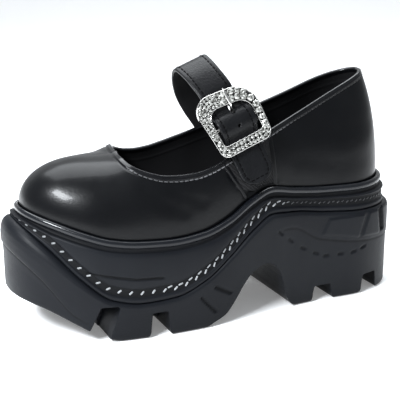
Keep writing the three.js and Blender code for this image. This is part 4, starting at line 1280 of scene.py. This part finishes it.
def strap_surface(frame, share, out):
    """Points of the strap from shares across its width and distances out from its middle."""
    place, normal, half, run = frame
    threaded = np.exp(-(((run - run[-1] + STRAP_FULL_AT) / STRAP_FULL_HALF) ** 4))
    back = place[:, 0] + share * (half + np.where(np.asarray(share) > 0, STRAP_FULLER, 0) * threaded)
    return strap_point(back, place[:, 1] + normal[:, 0] * out, place[:, 2] + normal[:, 1] * out)


def rest_on_leather(inner):
    """How far in Y each point of the strap's inner face must move to lie on the leather."""
    side = np.where(inner[..., 1] > 0, 1.0, -1.0)
    clear = side_y(inner[..., 0], inner[..., 2], side) + side * CLEAR
    near = smooth(6, 12, np.abs(inner[..., 1]))
    return near * side * np.maximum(0, side * (clear - inner[..., 1]))


STRAP_STITCH_IN = 3.0
STRAP_STITCH = 3.3
STRAP_STITCH_HALF = 0.75
STRAP_THREAD = 0.5
# Places back and up from the middle of the buckle, half widths and half lengths
STRAP_HOLES = (((0.1, -5.3), 1.05, 1.05), ((0.1, -16.8), 1.05, 1.05))
STRAP_SLOT = ((PRONG_BACK, 6.0), 1.25, 3.4)
PUNCH_LONG = 16.0


def strap_section():
    """Rounded outline of the strap's section: share across, share of half the thickness, how sunk, which is
    painted as shade.
    """
    stitch = 1 - STRAP_STITCH_IN / (STRAP_WIDE / 2)
    right = [0.25, 0.5, stitch - 0.035, stitch, stitch + 0.035, 0.88, 0.95, 0.985]
    section = []
    for share in (*(-share for share in right[::-1]), 0, *right):
        groove = 0.1 if abs(share) == stitch else 0
        rounding = max(0, (abs(share) - 0.88) / 0.105)
        section.append((share, 1 - 0.3 * rounding**2 - groove + 0.1 * (1 - share * share), groove))
    section += [(1.0, 0.3, 0), (1.0, -0.4, 0), (0.97, -1.0, 0)]
    section += [(share, -1.0, 0) for share in (0.6, 0.2, -0.2, -0.6)]
    section += [(-0.97, -1.0, 0), (-1.0, -0.4, 0), (-1.0, 0.3, 0)]
    return section


def make_strap(leather, backing):
    stations = strap_frame(330)
    section = strap_section()
    count = len(section)
    half_thick = STRAP_THICK / 2
    rings = np.empty((len(stations[0]), count, 3))
    for i, (share, out, _) in enumerate(section):
        rings[:, i] = strap_surface(stations, share, out * half_thick)
        rings[:, i, 1] += rest_on_leather(strap_surface(stations, share, -half_thick))
    # Painted shade: the stitch grooves are marked to be painted darker.
    sunk = np.tile([groove for _, _, groove in section], (len(rings), 1))
    faces = [face[::-1] for face in tube_faces(len(rings), count)]
    strap = make_piece("strap_leather", rings, faces, leather, {"sunk": sunk})
    strap.data.materials.append(backing)
    inner_faces = [i for i in range(count) if max(section[i][1], section[(i + 1) % count][1]) <= -0.9]
    for face in strap.data.polygons:
        if len(face.vertices) == 4 and min(face.vertices) % count in inner_faces:
            face.material_index = 1
    punch_strap(strap)
    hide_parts("strap")


def round_bar(centre, axis, radius, length, sides=20):
    """Points and faces of a bar, in the buckle's directions."""
    points = []
    for end in (-length / 2, length / 2):
        for i in range(sides):
            turn = 2 * math.pi * i / sides
            a, b = radius * math.cos(turn), radius * math.sin(turn)
            offset = (end, a, b) if axis == "across" else (a, b, end)
            points.append([c + o for c, o in zip(centre, offset)])
    points = np.array(points)
    faces = [list(range(sides))[::-1], [sides + i for i in range(sides)]]
    faces += [[i, (i + 1) % sides, (i + 1) % sides + sides, i + sides] for i in range(sides)]
    return points, faces


def punch_strap(strap):
    """The prong's slot and the round holes of the strap."""
    punches = []
    for (across, up), half_wide, half_long in (*STRAP_HOLES, STRAP_SLOT):
        ring, sides = round_bar((0, 0, 0), "out", 1.0, PUNCH_LONG)
        ring = ring * (half_wide, half_long, 1) + (across, up, 0)
        punches.append((buckle_place(*ring.T), sides))
    cut_with(strap, *gathered(punches))


def make_strap_stitches(material):
    """Thread along both edges of the strap and round its end."""
    stations = strap_frame(700)
    _, normal, half, run = stations
    inset = np.maximum(1 - STRAP_STITCH_IN / np.maximum(half, 0.1), 0)
    lines = []
    for side in (-1, 1):
        point = strap_surface(stations, side * inset, STRAP_THICK / 2 * 0.98)
        point[:, 1] += rest_on_leather(strap_surface(stations, side * inset, -STRAP_THICK / 2))
        lines.append(point[run < run[-1] - STRAP_STITCH_IN])
    place, ahead = spaced_along(np.concatenate([lines[0], lines[1][::-1]]), STRAP_STITCH)
    near = nearest_index(place, strap_surface(stations, 0, STRAP_THICK / 2))
    facing = (strap_point(0, *normal.T) - strap_point(0, 0, 0))[near]
    shapes = stitch_row(place, ahead * STRAP_STITCH_HALF, facing, STRAP_THREAD, 6)
    stitches = join_shapes("strap_stitches", shapes, material)


def corner_loop(corners, per_corner=16, per_side=10):
    """Closed line through rounded corners, in millimetres, with as many points for any corners."""
    spots = [np.array((back * BUCKLE_WIDE, up * BUCKLE_LONG)) for back, up, _ in corners]
    lengths = [rounding * BUCKLE_WIDE for _, _, rounding in corners]

    def towards(start, end, length):
        return start + unit(end - start) * length

    loop = []
    for i, spot in enumerate(spots):
        before = towards(spot, spots[i - 1], lengths[i])
        after = towards(spot, spots[(i + 1) % 4], lengths[i])
        in1 = before + (spot - before) * 0.55
        in2 = after + (spot - after) * 0.55
        for t in np.linspace(0, 1, per_corner):
            ends = before * (1 - t) ** 3 + after * t**3
            loop.append(ends + in1 * 3 * t * (1 - t) ** 2 + in2 * 3 * t * t * (1 - t))
        ahead = towards(spots[(i + 1) % 4], spot, lengths[(i + 1) % 4])
        for t in np.linspace(0, 1, per_side + 2)[1:-1]:
            loop.append(after + (ahead - after) * t)
    return np.array(loop)


RIM_WIDE = 0.75
SETTING_DEEP = 0.8


def make_buckle_frame(metal):
    outer = corner_loop(FRAME_CORNERS)
    inner = corner_loop(WINDOW_CORNERS)
    width = np.linalg.norm(inner - outer, axis=1)
    high, low = BUCKLE_THICK, BUCKLE_THICK - SETTING_DEEP
    rim = [(0.25, 0.0), (0.0, 0.3), (0.0, high - 0.5), (0.15, high - 0.12), (RIM_WIDE / 2, high)]
    rim += [(RIM_WIDE - 0.15, high - 0.12), (RIM_WIDE, low)]
    rows = []
    for distance, out in rim:
        flat = outer + (inner - outer) * (distance / width)[:, None]
        rows.append(buckle_place(*flat.T, np.full(len(flat), out)))
    for distance, out in rim[::-1]:
        flat = outer + (inner - outer) * (1 - distance / width)[:, None]
        rows.append(buckle_place(*flat.T, np.full(len(flat), out)))
    faces = loop_faces(len(rows), len(outer))
    bar, sides = round_bar((0, -PIN_DOWN, -PIN_DEPTH), "across", PIN_RADIUS, PIN_LONG, 24)
    rows = np.array(rows).reshape(-1, 3)
    faces += [[corner + len(rows) for corner in side] for side in sides]
    points = np.concatenate([rows, buckle_place(*bar.T)])
    # Painted shade: the settings' sunk floor is marked to be painted near black.
    sunk = np.repeat([float(out == low) for _, out in (*rim, *rim[::-1])], len(outer))
    sunk = np.concatenate([sunk, np.zeros(len(bar))])
    buckle = make_piece("buckle_rims", points, faces, metal, {"sunk": sunk})
    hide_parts("buckle_frame")


STONE_SIDES = 8
# Shares of a stone's radius, out and up, of its girdle's two rings and its table, and their turn in sides
STONE_RINGS = ((1.0, -0.35, 0), (1.0, 0.1, 0), (0.55, 0.5, 0.5))
STONE_TIP = 0.22
CLAW_RADIUS = 0.27


def stone(centre, radius, turn):
    """A cut stone, slightly tipped: a girdle, sloping facets and a flat table, in the buckle's directions."""
    points = []
    for share, rise, offset in STONE_RINGS:
        for i in range(STONE_SIDES):
            angle = turn + 2 * math.pi * (i + offset) / STONE_SIDES
            across, up = radius * share * math.cos(angle), radius * share * math.sin(angle)
            tip = STONE_TIP * (across * math.sin(7 * turn) + up * math.cos(5 * turn)) if rise > 0 else 0
            points.append((across, up, radius * rise + tip))
    faces = grid_faces(2, STONE_SIDES)
    low = [STONE_SIDES + i for i in range(STONE_SIDES)]
    top = [STONE_SIDES + i for i in low]
    for i in range(STONE_SIDES):
        after = (i + 1) % STONE_SIDES
        faces += [[low[i], low[after], top[i]], [low[after], top[after], top[i]]]
    faces.append(top)
    points = np.array(points) + centre
    return list(buckle_place(*points.T)), faces


def claw(spot):
    """A small bead of metal that holds a stone."""
    across, up = np.full(2, spot[0]), np.full(2, spot[1])
    place = buckle_place(across, up, np.array([BUCKLE_THICK - SETTING_DEEP, BUCKLE_THICK - 0.2]))
    return capsule(place[0], place[1], CLAW_RADIUS, 5, (1, 0, 0), 1.0)


# Stone sizes round the frame, from an angle to another seen from its middle, in degrees from its back side
STONE_ZONES = ((-35, 97, 4.6), (97, 200, 2.3), (200, 232, 3.6), (232, 325, 2.7))


def make_stones(material, metal):
    """Stones set in the frame: as many rows as its width takes."""
    outer = corner_loop(FRAME_CORNERS, 60, 90)
    inner = corner_loop(WINDOW_CORNERS, 60, 90)
    middle = (outer + inner) / 2
    width = np.linalg.norm(inner - outer, axis=1)
    wide = width - 2 * RIM_WIDE
    angle = np.degrees(np.arctan2(middle[:, 1], middle[:, 0]))
    shapes, claws = [], []
    for start, end, pitch in STONE_ZONES:
        inside = (angle - start) % 360 < end - start
        rows = np.maximum(1, np.round(wide / pitch))
        for row_count in (1, 2, 3, 4):
            for row in range(row_count):
                share = (RIM_WIDE + wide * (row + 0.5) / row_count) / width
                line = outer + (inner - outer) * share[:, None]
                use = inside & (rows == row_count)
                left = 0.5 * pitch * (row % 2)
                for i in range(len(line)):
                    step = np.linalg.norm(line[i] - line[i - 1])
                    left -= step
                    if not use[i] or left > 0 or step > 2:
                        continue
                    radius = min(wide[i] / row_count + 0.5, pitch) / 2 * 0.98
                    left = 2.04 * radius
                    turn = 0.7 * len(shapes)
                    height = BUCKLE_THICK - SETTING_DEEP + 0.35 * radius
                    shapes.append(stone((*line[i], height), radius, turn))
                    ahead = (line[(i + 1) % len(line)] - line[i]) / max(step, 1e-6)
                    claws.append(claw(line[i] + ahead * radius * 1.02))
    stones = join_shapes("buckle_stones", shapes, material)
    stones.data.polygons.foreach_set("use_smooth", [False] * len(stones.data.polygons))
    beads = join_shapes("buckle_claws", claws, metal)


# Shares of a bar's radius over its rounded ends
TUBE_ENDS = [0.05, 0.5, 0.8, 0.97]


def swept_tube(line, radius, sides=16):
    """Points and faces of a round bar along a line, with rounded ends."""
    ahead = unit(np.gradient(line, axis=0))
    across = unit(STRAP_ACROSS - (STRAP_ACROSS * ahead).sum(1, keepdims=True) * ahead)
    up = np.cross(across, ahead)
    size = np.ones((len(line), 1, 1))
    size[:4, 0, 0] = TUBE_ENDS
    size[-4:, 0, 0] = TUBE_ENDS[::-1]
    turn = (np.arange(sides) * 2 * math.pi / sides)[:, None]
    around = np.cos(turn) * across[:, None] + np.sin(turn) * up[:, None]
    points = line[:, None] + radius * size * around
    return points.reshape(-1, 3), tube_faces(len(line), sides)


EYE_SIDES = 28


def make_prong(metal):
    down, out = PRONG["down"] * BUCKLE_LONG, PRONG["out"] * BUCKLE_THICK
    place, _ = catmull(np.stack([0 * down + PRONG_BACK, -down, out], -1), np.linspace(0, 1, 60))
    points, faces = swept_tube(buckle_place(*place.T), PRONG_RADIUS)
    turn = np.linspace(0, 2 * math.pi, EYE_SIDES, endpoint=False)
    inner, outer = PIN_RADIUS + CLEAR, PIN_RADIUS + CLEAR + EYE_WALL
    ring = []
    for radius, side in ((inner, -1), (outer, -0.7), (outer, 0.7), (inner, 1)):
        up = -PIN_DOWN + radius * np.cos(turn)
        out = -PIN_DEPTH + radius * np.sin(turn)
        ring.append(buckle_place(np.full(EYE_SIDES, PRONG_BACK + side * PRONG_RADIUS), up, out))
    faces += loop_faces(len(ring), EYE_SIDES, first=len(points))
    prong = make_piece("prong_wire", np.concatenate([points, *ring]), faces, metal)
    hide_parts("buckle_prong")


def make_sock(material):
    """The sock on the insole board, a little cushioned."""
    angle = np.arange(SOCK_COLUMNS) * 2 * math.pi / SOCK_COLUMNS
    at = at_of(angle)
    edge = -WALL - 2 * CLEAR
    low = bed_z(at) + CLEAR
    rows = []
    for inward, rise in ((0, 0), (0, 2.0), (0.3, 2.6), (1.2, INSOLE_THICK), (3, INSOLE_THICK)):
        x, y = outline(angle, np.full_like(at, edge - inward))
        rows.append(np.stack([x, y, low + rise], -1))
    rim = rows[-1]
    partner = rim[-np.arange(SOCK_COLUMNS) % SOCK_COLUMNS]
    for share in np.linspace(0, 0.5, 12)[1:-1]:
        inner = rim + (partner - rim) * share
        inner[:, 2] -= 0.5 * math.sin(share * math.pi)
        rows.append(inner)
    rows = np.array(rows)
    sock = make_piece("insole_sock", rows, ring_piece_faces(rows), material)
    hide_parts("insole")


def studio_paper():
    finish = Finish("pale studio paper", Emission_Strength=0.2, Specular_IOR_Level=0.1)
    cloud = finish.noise(3.0, 2.0)
    tone = finish.mix(cloud, (0.93, 0.93, 0.93), (0.91605, 0.91605, 0.91605))
    return finish.finish(Base_Color=tone, Roughness=0.6, Emission_Color=tone)


# The paper's floor, its bend and its wall, in metres, and its turn from the frame's axes
FLOOR_FROM, FLOOR_TO = -3.0, 1.6
BEND = 1.2
WALL_TOP = 4.5
PAPER_HALF = 4.0
PAPER_TURN = math.radians(-24.8)


def make_studio():
    """A pale floor that rises into a pale wall far behind the shoe."""
    bend = np.linspace(0, math.pi / 2, 16)[1:]
    floor = np.linspace(FLOOR_FROM, FLOOR_TO, 24)
    depth = np.concatenate([floor, FLOOR_TO + BEND * np.sin(bend), [FLOOR_TO + BEND]])
    height = np.concatenate([0 * floor, BEND - BEND * np.cos(bend), [WALL_TOP]])
    cos, sin = math.cos(PAPER_TURN), math.sin(PAPER_TURN)
    points = []
    for d, h in zip(depth, height):
        points += [(a * cos - d * sin, a * sin + d * cos, h) for a in (-PAPER_HALF, PAPER_HALF)]
    mesh = bpy.data.meshes.new("studio_paper")
    mesh.from_pydata(points, [], grid_faces(len(depth), 2, closed=False))
    mesh.polygons.foreach_set("use_smooth", [True] * len(mesh.polygons))
    mesh.materials.append(studio_paper())
    paper = bpy.data.objects.new("studio_paper", mesh)
    bpy.context.scene.collection.objects.link(paper)


def softbox(name, place, aim, wide, tall, power, turn=0.0):
    """A rectangular lamp: sizes in metres, power in watts, and a turn about its own direction."""
    light = bpy.data.lights.new(name, "AREA")
    light.shape = "RECTANGLE"
    light.size = wide
    light.size_y = tall
    light.energy = power
    light.color = (0.93, 0.965, 1.0)
    box = bpy.data.objects.new(name, light)
    box.location = place
    facing = (Vector(aim) - Vector(place)).to_track_quat("-Z", "Y")
    box.rotation_euler = (facing @ Quaternion((0, 0, 1), turn)).to_euler()
    bpy.context.scene.collection.objects.link(box)


def make_lights():
    softbox("top softbox", (0.1, 0.5, 1.35), (0, 0, 0.05), 1.7, 1.1, 38)
    softbox("toe softbox", (-0.66, -0.34, 0.66), (-0.09, -0.02, 0.09), 0.34, 0.15, 16, math.radians(-30))
    world = bpy.data.worlds.new("studio")
    world.use_nodes = True
    world.node_tree.nodes["Background"].inputs["Color"].default_value = (0.9, 0.95, 1.0, 1)
    world.node_tree.nodes["Background"].inputs["Strength"].default_value = 0.4
    bpy.context.scene.world = world
    bpy.context.scene.view_settings.view_transform = "Standard"


# The photograph's camera: its place, its direction and the pixel of its axis, in a picture 400 pixels wide
CAMERA_PLACE = (-0.2508, -0.5486, 0.2377)
CAMERA_AZIMUTH = 24.78
CAMERA_DROP = 15.07
CAMERA_ROLL = 0.1
FOCAL_PIXELS = 960.0
AXIS_PIXEL = (210.3, 187.6)
PICTURE = 400.0


def make_camera():
    azimuth, drop, roll = (math.radians(value) for value in (CAMERA_AZIMUTH, CAMERA_DROP, CAMERA_ROLL))
    ahead = Vector((math.sin(azimuth) * math.cos(drop), math.cos(azimuth) * math.cos(drop), -math.sin(drop)))
    right = Vector((math.cos(azimuth), -math.sin(azimuth), 0))
    up = right.cross(ahead)
    right, up = right * math.cos(roll) + up * math.sin(roll), up * math.cos(roll) - right * math.sin(roll)
    camera = bpy.data.cameras.new("camera")
    camera.lens = camera.sensor_width * FOCAL_PIXELS / PICTURE
    camera.shift_x = (PICTURE / 2 - AXIS_PIXEL[0]) / PICTURE
    camera.shift_y = (AXIS_PIXEL[1] - PICTURE / 2) / PICTURE
    camera.clip_start = 0.01
    seen_from = bpy.data.objects.new("camera", camera)
    turn = Matrix((right, up, -ahead)).transposed().to_4x4()
    seen_from.matrix_world = Matrix.Translation(CAMERA_PLACE) @ turn
    bpy.context.scene.collection.objects.link(seen_from)
    bpy.context.scene.camera = seen_from


make_camera()
make_studio()
make_lights()

rubber = sole_rubber()
leather = polished_leather()
lining = black_lining()
metal = plated_metal()
make_outsole(rubber)
make_midsole(rubber)
make_sole_stitches(stitch_rubber())
make_sock(sock_fabric())
make_upper(leather, lining)
make_top_roll(leather)
make_edge_stitches(grey_thread())
make_gore(ribbed_elastic())
make_gore_edges(leather)
make_strap(strap_leather(), strap_backing())
make_strap_stitches(black_thread())
make_buckle_frame(metal)
make_stones(cut_stone(), metal)
make_prong(metal)

bpy.context.view_layer.update()
